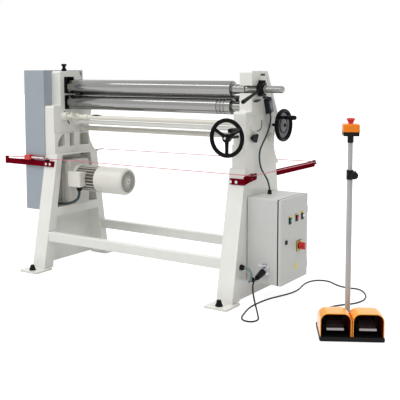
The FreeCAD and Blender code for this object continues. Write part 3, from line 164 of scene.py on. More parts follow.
@dataclass(frozen=True)
class Finish:
    """One paint, metal or plastic, as the numbers that its shader is built from.

    The tag tells variants of one record slot apart, and grime darkens the lowest 12 cm.
    """

    slot: str
    colour: Colour
    rough: float
    grain: Grain = Grain.ENAMEL
    metal: float = 0.0
    coat: float = 0.0
    mottle: float = 0.03
    relief: float = 1.0
    grime: Colour | None = None
    shine: float = 0.5
    tag: str = ""

    def material(self) -> bpy.types.Material:
        """Builds the material the first time and returns it."""
        name = self.slot + (self.tag or "_finish")
        made = bpy.data.materials.get(name)
        if made:
            return made
        made = bpy.data.materials.new(name)
        made.use_nodes = True
        tree = Tree(made.node_tree)
        place = tree.place()
        (fine_scale, fine_share, fine_way), (wide_scale, wide_share, wide_way) = self.grain.value
        fine = tree.noise(place, fine_scale, 3.0, fine_way)
        wide = tree.noise(place, wide_scale, 2.0, wide_way)
        cloud = tree.noise(place, 3.0, 3.0)
        tone = (cloud * 0.5 + wide * 0.3 + fine * 0.2).spread(0.38, 0.62)
        colour = tree.blend(tone, self._shade(-1), self._shade(1))
        if self.grime:
            foot = tree.add("SeparateXYZ", {}, {0: place}, "Z").spread(0.0, 0.12, 0.5, 0.0)
            colour = tree.blend(foot * tree.noise(place, 26.0, 4.0), colour, self.grime)
        height = fine * fine_share + wide * wide_share
        normal = tree.add("Bump", {}, {"Height": height, "Strength": 0.6, "Distance": 0.0005 * self.relief})
        shader = tree.add("BsdfPrincipled", {}, {
            "Base Color": colour, "Metallic": self.metal, "Coat Weight": self.coat, "Coat Roughness": 0.1,
            "Roughness": tone.spread(0, 1, max(0.0, self.rough - 0.04), self.rough + 0.05),
            "Specular IOR Level": self.shine, "Normal": normal})
        tree.add("OutputMaterial", {}, {0: shader})
        return made

    def _shade(self, side: int) -> Colour:
        """The colour a little darker (-1) or lighter (1)."""
        return tuple(min(1.0, c * (1 + side * self.mottle)) for c in self.colour)


@dataclass(frozen=True)
class Palette:
    """Finishes of the machine, one field per record slot or variant of it."""

    stand: Finish = Finish("stand_paint", (0.78, 0.78, 0.74), 0.33, coat=0.25, grime=(0.5, 0.48, 0.43))
    cast: Finish = Finish("cast_paint", (0.76, 0.76, 0.71), 0.38, Grain.CAST, coat=0.2)
    cover: Finish = Finish("cover_paint", (0.325, 0.365, 0.41), 0.42, Grain.SHEET, coat=0.1)
    roll: Finish = Finish("roll_steel", (0.3, 0.298, 0.29), 0.12, Grain.TURNED, metal=1.0, relief=0.4)
    # Bending roll's steel far darker than the other rolls: painted shade in the gap between the rolls.
    rear_roll: Finish = Finish("roll_steel", (0.06, 0.06, 0.06), 0.14, Grain.TURNED, metal=1.0, relief=0.4,
                               tag="_shaded")
    shaft: Finish = Finish("shaft_paint", (0.7, 0.68, 0.6), 0.35, coat=0.2)
    gear: Finish = Finish("gear_steel", (0.4, 0.4, 0.4), 0.35, Grain.GROUND, metal=1.0)
    zinc: Finish = Finish("fastener", (0.62, 0.62, 0.6), 0.28, Grain.GROUND, metal=1.0)
    gearbox: Finish = Finish("gearbox_paint", (0.62, 0.61, 0.56), 0.42, Grain.CAST)
    motor: Finish = Finish("motor_paint", (0.75, 0.735, 0.67), 0.34, coat=0.2)
    # Dark brown sleeve between the motor's fins: painted shade on the cream case.
    roots: Finish = Finish("motor_paint", (0.1, 0.095, 0.08), 0.6, shine=0.2, tag="_roots")
    conduit: Finish = Finish("conduit", (0.135, 0.215, 0.235), 0.32, Grain.MOULDED)
    dark_cable: Finish = Finish("conduit", (0.035, 0.055, 0.06), 0.35, Grain.MOULDED, shine=0.3,
                                tag="_dark")
    gland: Finish = Finish("gland_black", (0.005, 0.005, 0.006), 0.36, Grain.MOULDED, shine=0.15)
    wheel: Finish = Finish("wheel_black", (0.002, 0.002, 0.003), 0.2, Grain.MOULDED, shine=0.08)
    web: Finish = Finish("wheel_black", (0.115, 0.115, 0.12), 0.35, Grain.CAST, tag="_web")
    black: Finish = Finish("black_metal", (0.004, 0.005, 0.006), 0.28, Grain.GROUND, shine=0.12)
    navy: Finish = Finish("switch_navy", (0.003, 0.006, 0.014), 0.25, shine=0.35)
    # Switch cover a lighter navy than the case: partly painted highlight for the light streaks on the
    # switch front.
    steel_blue: Finish = Finish("switch_navy", (0.012, 0.02, 0.04), 0.16, coat=0.4, tag="_cover")
    cabinet: Finish = Finish("cabinet_paint", (0.6, 0.612, 0.59), 0.42, Grain.POWDER)
    yellow: Finish = Finish("yellow_plastic", (0.8, 0.6, 0.02), 0.3, Grain.MOULDED)
    green: Finish = Finish("green_plastic", (0.01, 0.36, 0.22), 0.25, Grain.MOULDED, coat=0.3)
    red: Finish = Finish("red_plastic", (0.62, 0.012, 0.015), 0.25, Grain.MOULDED, coat=0.3)
    socket: Finish = Finish("socket_metal", (0.62, 0.62, 0.65), 0.3, Grain.CAST, metal=1.0, relief=0.4)
    rubber: Finish = Finish("cable_black", (0.006, 0.006, 0.007), 0.42, Grain.MOULDED, shine=0.3)
    orange: Finish = Finish("hood_orange", (0.95, 0.36, 0.022), 0.3, Grain.MOULDED, coat=0.25)
    # Dark red inner skins of the orange hoods: painted shade, the hoods are orange plastic inside too.
    lining: Finish = Finish("hood_orange", (0.15, 0.01, 0.004), 0.5, Grain.MOULDED, shine=0.25,
                            tag="_shade_skin")
    pedal: Finish = Finish("pedal_grey", (0.04, 0.026, 0.026), 0.45, Grain.MOULDED, shine=0.25)
    lip: Finish = Finish("pedal_grey", (0.46, 0.43, 0.43), 0.4, Grain.MOULDED, tag="_lip")
    pole: Finish = Finish("pole_paint", (0.42, 0.42, 0.42), 0.28, coat=0.2)
    crimson: Finish = Finish("crimson", (0.17, 0.002, 0.01), 0.35, shine=0.0)
    box: Finish = Finish("hood_orange", (0.9, 0.23, 0.003), 0.3, Grain.MOULDED, shine=0.3, tag="_box")
    wire: Finish = Finish("wire_red", (0.6, 0.16, 0.19), 0.35, Grain.MOULDED)
    lamp: Finish = Finish("green_plastic", (0.7, 0.78, 0.88), 0.15, Grain.MOULDED, coat=0.5, tag="_lamp")


PAINT = Palette()


# ------------------------------------------------------------------ modelling steps
def deselect() -> None:
    """Leaves edit mode and selects nothing."""
    if bpy.context.object and bpy.context.object.mode != "OBJECT":
        bpy.ops.object.mode_set(mode="OBJECT")
    bpy.ops.object.select_all(action="DESELECT")


def activate(obj: Piece) -> None:
    """Selects one object alone and makes it active."""
    deselect()
    bpy.context.view_layer.objects.active = obj
    obj.select_set(True)


def link(name: str, data: bpy.types.ID) -> Piece:
    """New object in the scene."""
    obj = bpy.data.objects.new(name, data)
    bpy.context.scene.collection.objects.link(obj)
    return obj


@contextmanager
def editing(obj: Piece, mode: str = "FACE", every: bool = True) -> Iterator[None]:
    """Edit mode on one object, with everything or nothing selected at the start."""
    activate(obj)
    bpy.ops.object.mode_set(mode="EDIT")
    bpy.ops.mesh.select_mode(type=mode)
    bpy.ops.mesh.select_all(action="SELECT" if every else "DESELECT")
    yield
    bpy.ops.object.mode_set(mode="OBJECT")


def modify(obj: Piece, kind: str, **settings: Any) -> None:
    """Adds a modifier with its settings and applies it."""
    activate(obj)
    modifier = obj.modifiers.new(kind, kind)
    for key, value in settings.items():
        setattr(modifier, key, value)
    bpy.ops.object.modifier_apply(modifier=modifier.name)


def settle(obj: Piece) -> Piece:
    """Moves an object's place, turn and size into its mesh."""
    activate(obj)
    bpy.ops.object.transform_apply(location=True, rotation=True, scale=True)
    return obj


def shift(obj: Piece, at: Point, turn: Matrix) -> Piece:
    """Turns an object about the origin, moves it and settles it."""
    obj.matrix_world = Matrix.Translation(Vector(at)) @ turn
    return settle(obj)


def pick_faces(obj: Piece, test: Callable[[Vector, Vector], bool]) -> None:
    """Selects the faces whose normal and centre pass a test, in edit mode."""
    bpy.ops.object.mode_set(mode="OBJECT")
    for face in obj.data.polygons:
        face.select = test(face.normal, face.center)
    bpy.ops.object.mode_set(mode="EDIT")


def spin_round(origin: Point, axis: Point, steps: int) -> None:
    """Spins the selected chain a full turn and joins its seam, in edit mode."""
    bpy.ops.mesh.spin(steps=steps, angle=FULL_TURN, center=origin, axis=axis)
    bpy.ops.mesh.select_all(action="SELECT")
    bpy.ops.mesh.remove_doubles(threshold=MERGE)
    bpy.ops.mesh.normals_make_consistent(inside=False)


def smooth(obj: Piece, angle: float = 35.0) -> Piece:
    """Smooth shading over edges flatter than an angle in degrees."""
    activate(obj)
    bpy.ops.object.shade_smooth_by_angle(angle=math.radians(angle))
    return obj


def round_edges(obj: Piece, width: float, segments: int = 2, angle: float = 35.0) -> Piece:
    """Rounds the edges sharper than an angle, with flat faces left flat in the light."""
    smooth(obj, angle)
    modify(obj, "BEVEL", width=width, segments=segments, limit_method="ANGLE",
           angle_limit=math.radians(angle), harden_normals=True, use_clamp_overlap=True)
    return obj


def soften(node: str, width: float, segments: int = 2, angle: float = 35.0) -> Piece:
    """Copy of a CAD node, merged into clean faces and with its edges rounded."""
    obj = link(node + "_form", NODES[node].data.copy())
    with editing(obj, "VERT"):
        bpy.ops.mesh.remove_doubles(threshold=MERGE)
        bpy.ops.mesh.dissolve_limited(angle_limit=math.radians(0.6))
    return round_edges(obj, width, segments, angle) if width else smooth(obj, angle)


def facing(axis: Point) -> Matrix:
    """Turn that takes +Z to an axis."""
    return Vector(axis).to_track_quat("Z", "Y").to_matrix().to_4x4()


def block(lo: Point, hi: Point, edge: float = 0.0, segments: int = 2) -> Piece:
    """Box between two corners with rounded edges."""
    deselect()
    centre = [(a + b) / 2 for a, b in zip(lo, hi)]
    bpy.ops.mesh.primitive_cube_add(size=1, location=centre, scale=[b - a for a, b in zip(lo, hi)])
    obj = settle(bpy.context.object)
    return round_edges(obj, edge, segments) if edge else obj


def chain(points: Sequence[Point]) -> Piece:
    """Mesh of edges through points, extruded from a plane merged to one vertex."""
    deselect()
    bpy.ops.mesh.primitive_plane_add(size=0.01)
    obj = bpy.context.object
    with editing(obj, "VERT"):
        bpy.ops.mesh.merge(type="CENTER")
        bpy.ops.transform.translate(value=Vector(points[0]))
        for here, there in zip(points, points[1:]):
            bpy.ops.mesh.extrude_region_move(TRANSFORM_OT_translate={"value": Vector(there) - Vector(here)})
    return obj


def lathe(section: Pairs, origin: Point, axis: Point, steps: int = 48, bore: float = 0.0,
          edge: float = 0.0) -> Piece:
    """Turned body.

    Args:
        section: Pairs of distance along the axis and radius. A section that ends where it starts is
            a ring already, and any other one is closed at the bore.
        origin: Point on the axis at distance 0.
        axis: Direction of the axis.
        steps: Faces round the body.
        bore: Radius of the hole, 0 for a solid body.
        edge: Width of the rounding on sharp rims.

    Returns:
        The new mesh object.
    """
    way = Vector(axis).normalized()
    side = way.orthogonal().normalized()
    closed = list(section)
    if closed[0] != closed[-1]:
        (first, first_r), (last, last_r) = closed[0], closed[-1]
        closed = [(first, bore)] * (first_r != bore) + closed + [(last, bore)] * (last_r != bore)
        closed += closed[:1] * (bore > 0)
    obj = chain([Vector(origin) + way * a + side * r for a, r in closed])
    with editing(obj, "VERT"):
        spin_round(Vector(origin), way, steps)
    return round_edges(obj, edge) if edge else smooth(obj, 32)


def rod(start: Point, end: Point, r0: float, r1: float | None = None) -> Piece:
    """Round bar or cone between two points."""
    way = Vector(end) - Vector(start)
    return lathe([(0, r0), (way.length, r0 if r1 is None else r1)], start, way, 24)


def slab(outline: Sequence[Point], step: Point, edge: float = 0.0, segments: int = 2) -> Piece:
    """Flat outline of 3-D points pushed along a step."""
    obj = chain([*outline, outline[0]])
    with editing(obj, "VERT"):
        bpy.ops.mesh.remove_doubles(threshold=MERGE)
        bpy.ops.mesh.edge_face_add()
        bpy.ops.mesh.extrude_region_move(TRANSFORM_OT_translate={"value": Vector(step)})
        bpy.ops.mesh.select_all(action="SELECT")
        bpy.ops.mesh.normals_make_consistent(inside=False)
    return round_edges(obj, edge, segments) if edge else obj


def hoop(centre: Point, axis: Point, major: float, minor: float) -> Piece:
    """Round ring."""
    deselect()
    bpy.ops.mesh.primitive_torus_add(major_radius=major, minor_radius=minor, major_segments=96,
                                     minor_segments=20)
    return smooth(shift(bpy.context.object, centre, facing(axis)), 60)


def hex_head(centre: Point, axis: Point, across: float, height: float, washer: bool = True) -> Piece:
    """Hexagon screw head with a chamfered top, on a washer."""
    deselect()
    bpy.ops.mesh.primitive_cylinder_add(vertices=6, radius=across / math.sqrt(3), depth=height,
                                        location=(0, 0, height / 2))
    head = settle(bpy.context.object)
    with editing(head, every=False):
        pick_faces(head, lambda normal, _: normal.z > 0.9)
        bpy.ops.mesh.inset(thickness=across * 0.07, depth=across * 0.035)
    smooth(head, 20)
    parts = [head]
    if washer:
        thick, r = across * 0.09, across * 0.92
        parts.append(lathe([(0, 0), (-thick, 0), (-thick, r), (0, r), (0, 0)], (0, 0, 0), UP, 28))
    return shift(join(parts), centre, facing(axis))


def cap_head(centre: Point, axis: Point, r: float, height: float) -> Piece:
    """Socket screw head with its recess."""
    return lathe([(0, r), (height * 0.85, r), (height, r * 0.88), (height, r * 0.5),
                  (height * 0.45, r * 0.46), (height * 0.4, 0)], centre, axis, 20)


def join(parts: Sequence[Piece]) -> Piece:
    """One object from several."""
    activate(parts[0])
    for part in parts[1:]:
        part.select_set(True)
    if len(parts) > 1:
        bpy.ops.object.join()
    return parts[0]


def curve(points: Sequence[Point], radius: float, resolution: int = 6) -> Piece:
    """Round cord on one smooth spline through its control points."""
    data = bpy.data.curves.new("cord", "CURVE")
    data.dimensions = "3D"
    data.bevel_depth = radius
    data.bevel_resolution = 4
    data.use_fill_caps = True
    data.resolution_u = resolution
    spline = data.splines.new("NURBS")
    spline.points.add(len(points) - 1)
    for spot, point in zip(spline.points, points):
        spot.co = (*point, 1.0)
    spline.order_u = 3
    spline.use_endpoint_u = True
    return link("cord", data)


def settle_curve(obj: Piece) -> Piece:
    """Mesh of a curve, with closed ends and its place in its mesh."""
    activate(obj)
    bpy.ops.object.convert(target="MESH")
    return smooth(settle(bpy.context.object), 50)


def arc(centre: Pair, r: float, angles: Sequence[float]) -> list[Pair]:
    """Points on a circle at angles in degrees."""
    return [(centre[0] + r * math.cos(math.radians(a)), centre[1] + r * math.sin(math.radians(a)))
            for a in angles]


def fit(obj: Piece, name: str, finish: Finish, *stands_for: str, body: str = "frame") -> Piece:
    """Names and paints a piece, and lets it ride on a body.

    Args:
        obj: The finished piece, with its place in its mesh.
        name: Name of the piece.
        finish: Its paint, metal or plastic.
        stands_for: CAD nodes that it replaces; it rides on the body of the first.
        body: CAD body that carries a piece which replaces no node.

    Returns:
        The same object.
    """
    body = BODY_OF[stands_for[0]] if stands_for else body
    obj.name = name
    obj.data.materials.clear()
    obj.data.materials.append(finish.material())
    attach(obj, body)
    if stands_for:
        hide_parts(*stands_for)
    log.info("%s: %s on %s", name, finish.slot + finish.tag, body)
    return obj


def refit(node: str, name: str, finish: Finish, width: float, segments: int = 2,
          angle: float = 35.0) -> Piece:
    """Softens the edges of a CAD node and fits the result in its stead."""
    return fit(soften(node, width, segments, angle), name, finish, node)


def dress(node: str, finish: Finish) -> None:
    """Gives a CAD node that stays in view its material."""
    data = NODES[node].data
    data.materials.clear()
    data.materials.append(finish.material())


# ------------------------------------------------------------------ stand and castings
@dataclass
class Stand:
    """Leg frames, floor beams, anchor screws and the screws of the heads."""

    edge: float = 0.0022
    anchor_x: float = 0.721
    anchor_y: float = 0.381
    bolt_x: float = 0.716
    bolt_rows: Pair = (-0.11, 0.105)
    bolt_z: float = 0.738
    bead_r: float = 0.0028
    beam_weld_x: float = 0.761
    beam_welds: tuple[Point, ...] = ((0.4045, -0.19, 0.203), (0.3455, -0.194, 0.212))
    foot_weld_x: Pair = (0.672, 0.77)
    foot_weld_y: float = 0.3268
    foot_weld_z: float = 0.0125
    ripple: float = 0.006

    def build(self) -> None:
        """Builds the whole sub-assembly."""
        for side in SIDES:
            refit(side + "_leg_frame", side + "_leg", PAINT.stand, self.edge, 3)
        refit("cross_ties", "floor_beams_and_tie_bar", PAINT.stand, 0.0012)
        fit(self.anchors(), "anchor_screws", PAINT.black, "frame_bolts")
        fit(self.head_bolts(), "head_bolts", PAINT.black)
        fit(self.weld_beads(), "weld_beads", PAINT.stand)

    def anchors(self) -> Piece:
        """Four hollow levelling screws, each with a collar and a cone."""
        section = [(0, 0.007), (0, 0.0118), (0.0122, 0.0118), (0.0122, 0.0215), (0.016, 0.022),
                   (0.022, 0.0188), (0.037, 0.0142), (0.0458, 0.0126), (0.0458, 0.0072), (0, 0.007)]
        return join([lathe(section, (x, y, 0), UP, 32, edge=0.0006)
                     for x in (-self.anchor_x, self.anchor_x) for y in (-self.anchor_y, self.anchor_y)])

    def head_bolts(self) -> Piece:
        """Hexagon screws with washers below the heads."""
        return join([hex_head((sx * self.bolt_x, y, self.bolt_z + 0.0098), DOWN, 0.024, 0.01)
                     for sx in (-1, 1) for y in self.bolt_rows])

    def weld_beads(self) -> Piece:
        """Fillet welds of the cross members and of the feet."""
        runs = []
        x0, x1 = self.foot_weld_x
        for side in (-1, 1):
            for z, y0, y1 in self.beam_welds:
                runs.append(((side * self.beam_weld_x, y0, z), (side * self.beam_weld_x, y1, z)))
            for y in (-self.foot_weld_y, self.foot_weld_y):
                runs.append(((side * x0, y, self.foot_weld_z), (side * x1, y, self.foot_weld_z)))
        return join([self.bead(Vector(start), Vector(end)) for start, end in runs])

    def bead(self, start: Vector, end: Vector) -> Piece:
        """Rippled bead between two points."""
        length = (end - start).length
        count = max(6, int(length / self.ripple))
        section = [(0, 0)]
        for k in range(count):
            section += [(length * k / count, self.bead_r * 0.78), (length * (k + 0.5) / count, self.bead_r)]
        return lathe([*section, (length, 0)], start, end - start, 10)


@dataclass
class Heads:
    """The two cast heads with their fittings."""

    edge: float = 0.0022
    oilers: tuple[Point, ...] = ((-0.7345, -0.005, 1.31), (0.734, -0.034, 1.31), (0.734, 0.03, 1.31))
    face_x: float = 0.7735
    rib: Pairs = ((0.05, 1.288), (0.064, 1.268), (0.176, 1.066), (0.178, 1.05), (0.142, 0.925))
    scale_centre: Pair = (-0.046, 1.01)
    scale_r: float = 0.044
    slit_x: float = -0.6946
    slit: Pairs = ((-0.07, 0.99), (-0.062, 0.994), (-0.033, 0.955), (-0.04, 0.951))
    slot_x: float = 0.7698
    slot: Pairs = ((-0.0185, 1.284), (0.0385, 1.284), (0.0385, 1.294), (-0.0185, 1.294))
    window_x: Pair = (-0.7572, -0.6955)
    window_walls: Pairs = ((0.0126, 0.0138), (-0.0828, -0.0818))
    window_z: Pair = (1.1602, 1.2718)

    def build(self) -> None:
        """Builds the whole sub-assembly."""
        for side in SIDES:
            refit(side + "_head", side + "_casting", PAINT.cast, self.edge, 3, 40)
        fit(self.ball_oilers(), "ball_oilers", PAINT.zinc)
        fit(self.rear_rib(), "right_casting_rib", PAINT.cast)
        fit(self.scale_marks(), "lift_scale", PAINT.black)
        # Dark slabs in the floors of the diagonal slit and of the slot near the top of the right casting;
        # the one in the slit is painted shade in that recess.
        for name, x, corners, depth in (("name_slot_dark_slab", self.slot_x, self.slot, 0.0008),
                                        ("slit_shade_slab", self.slit_x, self.slit, 0.0011)):
            dark_slab = slab([(x, y, z) for y, z in corners], (depth, 0, 0), 0.0002, 1)
            fit(dark_slab, name, PAINT.gland)
        fit(self.window_shade_sheets(), "window_shade_sheets", PAINT.gland)

    def ball_oilers(self) -> Piece:
        """Pressed-in oil nipples on the tops of the heads."""
        return join([lathe([(-0.003, 0.0052), (0.0016, 0.0052), (0.0024, 0.0044), (0.0024, 0.0028),
                            (0.0012, 0.0022), (0.002, 0)], spot, UP, 20) for spot in self.oilers])

    def rear_rib(self) -> Piece:
        """Rounded rib down the rear edge of the right casting."""
        return settle_curve(curve([(self.face_x, y, z) for y, z in self.rib], 0.0042, 8))

    def scale_marks(self) -> Piece:
        """Index arc beside the lock knob."""
        line = arc(self.scale_centre, self.scale_r, range(-108, 30, 12))
        return settle_curve(curve([(self.face_x + 0.001, y, z) for y, z in line], 0.0026, 4))

    def window_shade_sheets(self) -> Piece:
        """Dark sheets on the walls of the left casting's bearing window: painted shade in the window."""
        (x0, x1), (z0, z1) = self.window_x, self.window_z
        return join([block((x0, y0, z0), (x1, y1, z1), 0.0002, 1) for y0, y1 in self.window_walls])


@dataclass
class GearGuard:
    """Sheet guard over the gears and the screws that hold it."""

    screw_ys: Pair = (-0.172, 0.168)
    screw_zs: Pair = (0.396, 1.292)
    face_x: float = -0.957

    def build(self) -> None:
        """Builds the whole sub-assembly."""
        refit("gear_cover", "gear_guard", PAINT.cover, 0.0008, 2, 45)
        screws = [cap_head((self.face_x, y, z), LEFT, 0.0065, 0.005)
                  for z in self.screw_zs for y in self.screw_ys]
        fit(join(screws), "guard_screws", PAINT.black)


# ------------------------------------------------------------------ rolls and gears
@dataclass
class Rolls:
    """The three rolls, their bearings and the gears that join them."""

    r: float = 0.0475
    left: float = -0.67
    y: float = -0.034
    top_z: float = 1.206
    low_z: float = 1.102
    rear: Pair = (0.076, 1.118)
    grooves: Pairs = ((0.511, 0.006), (0.535, 0.005), (0.559, 0.004))
    steps: int = 96

    def build(self) -> None:
        """Builds the whole sub-assembly."""
        fit(self.top(), "top_pinch_roll", PAINT.roll, "top_roll")
        fit(self.low(), "lower_pinch_roll", PAINT.roll, "lower_roll")
        # The bending roll gets the dark copy of the roll steel: painted shade seen through the gap.
        fit(self.back(), "bending_roll", PAINT.rear_roll, "rear_roll")
        for node, finish in (("lower_roll_blocks", PAINT.black), ("rear_roll_blocks", PAINT.gear)):
            refit(node, node + "_machined", finish, 0.0008)
        # Zinc plate on the cap's front face: a machined face whose brightness also stands in for a
        # reflection, a painted highlight.
        plate = block((0.656, self.y - 0.0272, 1.138), (0.682, self.y - 0.0258, 1.155), 0.0005)
        fit(plate, "cap_plate", PAINT.zinc, body=BODY_OF["lower_roll_blocks"])
        refit("swivel_block", "swivel_bearing", PAINT.black, 0.0008)
        for node in ("top_gear", "lower_gear", "upper_idler", "lower_idler", "output_pinion"):
            refit(node, node + "_cut", PAINT.gear, 0.0004, 1)

    def barrel(self, start: float, end: float) -> list[Pair]:
        """Profile of a roll's body with its small chamfers."""
        return [(start, self.r - 0.0022), (start + 0.0008, self.r - 0.0008), (start + 0.0024, self.r),
                (end - 0.0024, self.r), (end - 0.0008, self.r - 0.0008), (end, self.r - 0.0022)]

    def top(self) -> Piece:
        """Top roll with its dog and journals and the long shaft end on the right."""
        profile = [(-0.081, 0), (-0.081, 0.0225), (0.0, 0.0225), *self.barrel(0.0, 1.27), (1.27, 0.031),
                   (1.272, 0.029), (1.357, 0.029), (1.36, 0.026), (1.36, 0.022), (1.444, 0.022),
                   (1.444, 0.0205), (1.479, 0.0205), (1.479, 0.0262), (1.48, 0.027), (1.49, 0.027),
                   (1.491, 0.0262), (1.491, 0.02), (1.5915, 0.02), (1.596, 0.0184), (1.6, 0.0155),
                   (1.6022, 0.011), (1.603, 0.0)]
        barrel = lathe(profile, (self.left, self.y, self.top_z), RIGHT, self.steps)
        tongue = block((-0.768, self.y - 0.006, self.top_z - 0.015),
                       (-0.745, self.y + 0.006, self.top_z + 0.015))
        return join([barrel, tongue])

    def low(self) -> Piece:
        """Lower roll with the round wire grooves near its right end."""
        body = self.barrel(0.0, 1.27)
        cuts = []
        for x, half in self.grooves:
            s = x - self.left
            cuts += [(s - half - 0.0006, self.r)]
            cuts += [(s - half * math.cos(a), self.r - half * math.sin(a) - 0.0004)
                     for a in (math.pi * k / 10 for k in range(11))]
            cuts += [(s + half + 0.0006, self.r)]
        profile = [(-0.16, 0), (-0.16, 0.018), (-0.12, 0.018), (-0.12, 0.022), (-0.018, 0.022),
                   (-0.018, 0.028), (0, 0.028), *body[:3], *cuts, *body[3:], (1.27, 0.028), (1.356, 0.028),
                   (1.358, 0.026), (1.358, 0.022), (1.417, 0.022), (1.418, 0.021), (1.418, 0)]
        return lathe(profile, (self.left, self.y, self.low_z), RIGHT, self.steps)

    def back(self) -> Piece:
        """Bending roll with its necks and journals."""
        profile = [(0, 0), (0, 0.02), (0.062, 0.02), (0.062, 0.026), (0.064, 0.028), (0.078, 0.028),
                   *self.barrel(0.078, 1.348), (1.348, 0.028), (1.434, 0.028), (1.436, 0.026),
                   (1.436, 0.02), (1.498, 0.02), (1.498, 0)]
        return lathe(profile, (-0.748, *self.rear), RIGHT, self.steps)


# ------------------------------------------------------------------ drive
@dataclass
class Drive:
    """Gearbox, motor, its terminal box and the fan cowl."""

    z: float = 0.588
    flange_x: float = -0.622
    bolt_circle: float = 0.0862
    foot_z: float = 0.4348
    shell_r: float = 0.08
    fin_r: float = 0.0885
    fins: int = 24
    foot_xs: Pair = (-0.743, -0.665)
    foot_y: float = 0.0945
    terminal_box: tuple[Point, Point] = ((-0.63, -0.126, 0.541), (-0.5225, -0.0935, 0.643))
    terminal_neck: tuple[Point, Point] = ((-0.618, -0.098, 0.545), (-0.5225, -0.06, 0.639))
    lid: tuple[Point, Point] = ((-0.6296, -0.1318, 0.5414), (-0.5229, -0.1268, 0.6426))
    lid_screws: Pairs = ((-0.621, 0.55), (-0.621, 0.634), (-0.532, 0.55), (-0.532, 0.634))
    box_end: float = -0.521
    fin_ends: Pair = (-0.61, -0.449)
    cowl_r: float = 0.089
    cowl: Pair = (-0.446, -0.219)
    grille_rings: tuple[float, ...] = (0.0, 0.014, 0.0225, 0.031, 0.0395, 0.048, 0.0565, 0.065, 0.0745)

    def build(self) -> None:
        """Builds the whole sub-assembly."""
        refit("gearbox", "gearbox_case", PAINT.gearbox, 0.0016, 2, 40)
        fit(self.gearbox_screws(), "gearbox_screws", PAINT.zinc)
        fit(self.motor(), "motor_case", PAINT.motor, "motor_body")
        fit(self.fin_roots(), "motor_fin_roots", PAINT.roots)
        fit(self.grille_shade_disc(), "cowl_inside_shade", PAINT.gland)
        fit(self.cowl_boss(), "cowl_boss", PAINT.motor)
        fit(block(*self.lid, 0.0022, 3), "terminal_lid", PAINT.motor)
        fit(self.terminal_screws(), "terminal_screws", PAINT.zinc)
        fit(self.cowl_shell(), "fan_cowl_shell", PAINT.motor, "fan_cowl")
        dress("motor_rotor", PAINT.gear)

    def motor(self) -> Piece:
        """Motor case with a flange, radial fins and the terminal box."""
        section = [(0, 0.0908), (0.0012, 0.092), (0.0108, 0.092), (0.012, 0.0908), (0.012, self.shell_r),
                   (0.272, self.shell_r)]
        shell = lathe(section, (self.flange_x, 0, self.z), RIGHT, 72, bore=0.0121)
        fins = []
        x0, x1 = self.fin_ends
        for k in range(self.fins):
            a = FULL_TURN * k / self.fins
            start = self.box_end if abs(math.degrees(a) - 90) < 35 else x0
            fin = block((start, -0.0012, self.shell_r - 0.002), (x1, 0.0012, self.fin_r), 0.0008, 1)
            fins.append(shift(fin, (0, 0, self.z), Matrix.Rotation(-a, 4, "X")))
        terminal = block(*self.terminal_box, 0.006, 4)
        return join([shell, *fins, terminal, block(*self.terminal_neck, 0.003, 2)])

    def fin_roots(self) -> Piece:
        """Dark sleeve on the case between the fins: painted shade on the cream paint."""
        x0, x1 = self.fin_ends
        r = self.shell_r + 0.0007
        return lathe([(0, r), (x1 - x0, r)], (x0, 0, self.z), RIGHT, 72, bore=self.shell_r - 0.001)

    def grille_shade_disc(self) -> Piece:
        """Black disc behind the grille, painted shade inside the cowl, and the centre screw."""
        end = self.cowl[1]
        disc = lathe([(0, 0.075), (0.0012, 0.075)], (end - 0.0075, 0, self.z), RIGHT, 48)
        return join([disc, rod((end - 0.0075, 0, self.z), (end - 0.0002, 0, self.z), 0.0055)])

    def cowl_boss(self) -> Piece:
        """Plain square plate in the middle of the grille."""
        x = self.cowl[1]
        return block((x - 0.004, -0.016, self.z - 0.016), (x - 0.0008, 0.016, self.z + 0.016), 0.0008, 2)

    def terminal_screws(self) -> Piece:
        """Four lid screws."""
        y = self.lid[0][1] + 0.0004
        return join([cap_head((x, y, z), FRONT, 0.0036, 0.0006) for x, z in self.lid_screws])

    def gearbox_screws(self) -> Piece:
        """Screws round the motor flange and on the case's foot."""
        made = [hex_head((self.flange_x + 0.0118, y, z), RIGHT, 0.01, 0.0045, False)
                for y, z in arc((0, self.z), self.bolt_circle, range(30, 390, 60))]
        made += [hex_head((x, y, self.foot_z), UP, 0.009, 0.006, False)
                 for x in self.foot_xs for y in (-self.foot_y, self.foot_y)]
        return join(made)

    def cowl_shell(self) -> Piece:
        """Sheet cowl with a rolled shoulder and a pierced end."""
        length = self.cowl[1] - self.cowl[0]
        shell = lathe([(0, 0.0872), (0, self.cowl_r), (length - 0.018, self.cowl_r),
                       (length - 0.011, 0.0868), (length - 0.006, 0.0835), (length - 0.0005, 0.0785),
                       (length - 0.0005, 0.069), (length - 0.0035, 0.069), (length - 0.005, 0.077),
                       (length - 0.014, 0.0845), (length - 0.02, 0.0862), (0, 0.0872)],
                      (self.cowl[0], 0, self.z), RIGHT, 72)
        return join([shell, self.grille()])

    def grille(self) -> Piece:
        """Pierced disc: rings of slots from the centre to the rim."""
        x = self.cowl[1] - 0.0035
        disc = chain([(x, 0, self.z + r) for r in self.grille_rings])
        with editing(disc, "VERT"):
            spin_round((x, 0, self.z), RIGHT, 40)
        with editing(disc):
            bpy.ops.mesh.inset(thickness=0.0008, depth=0, use_individual=True)
            bpy.ops.mesh.delete(type="FACE")
        modify(disc, "SOLIDIFY", thickness=0.0018, offset=0)
        return disc


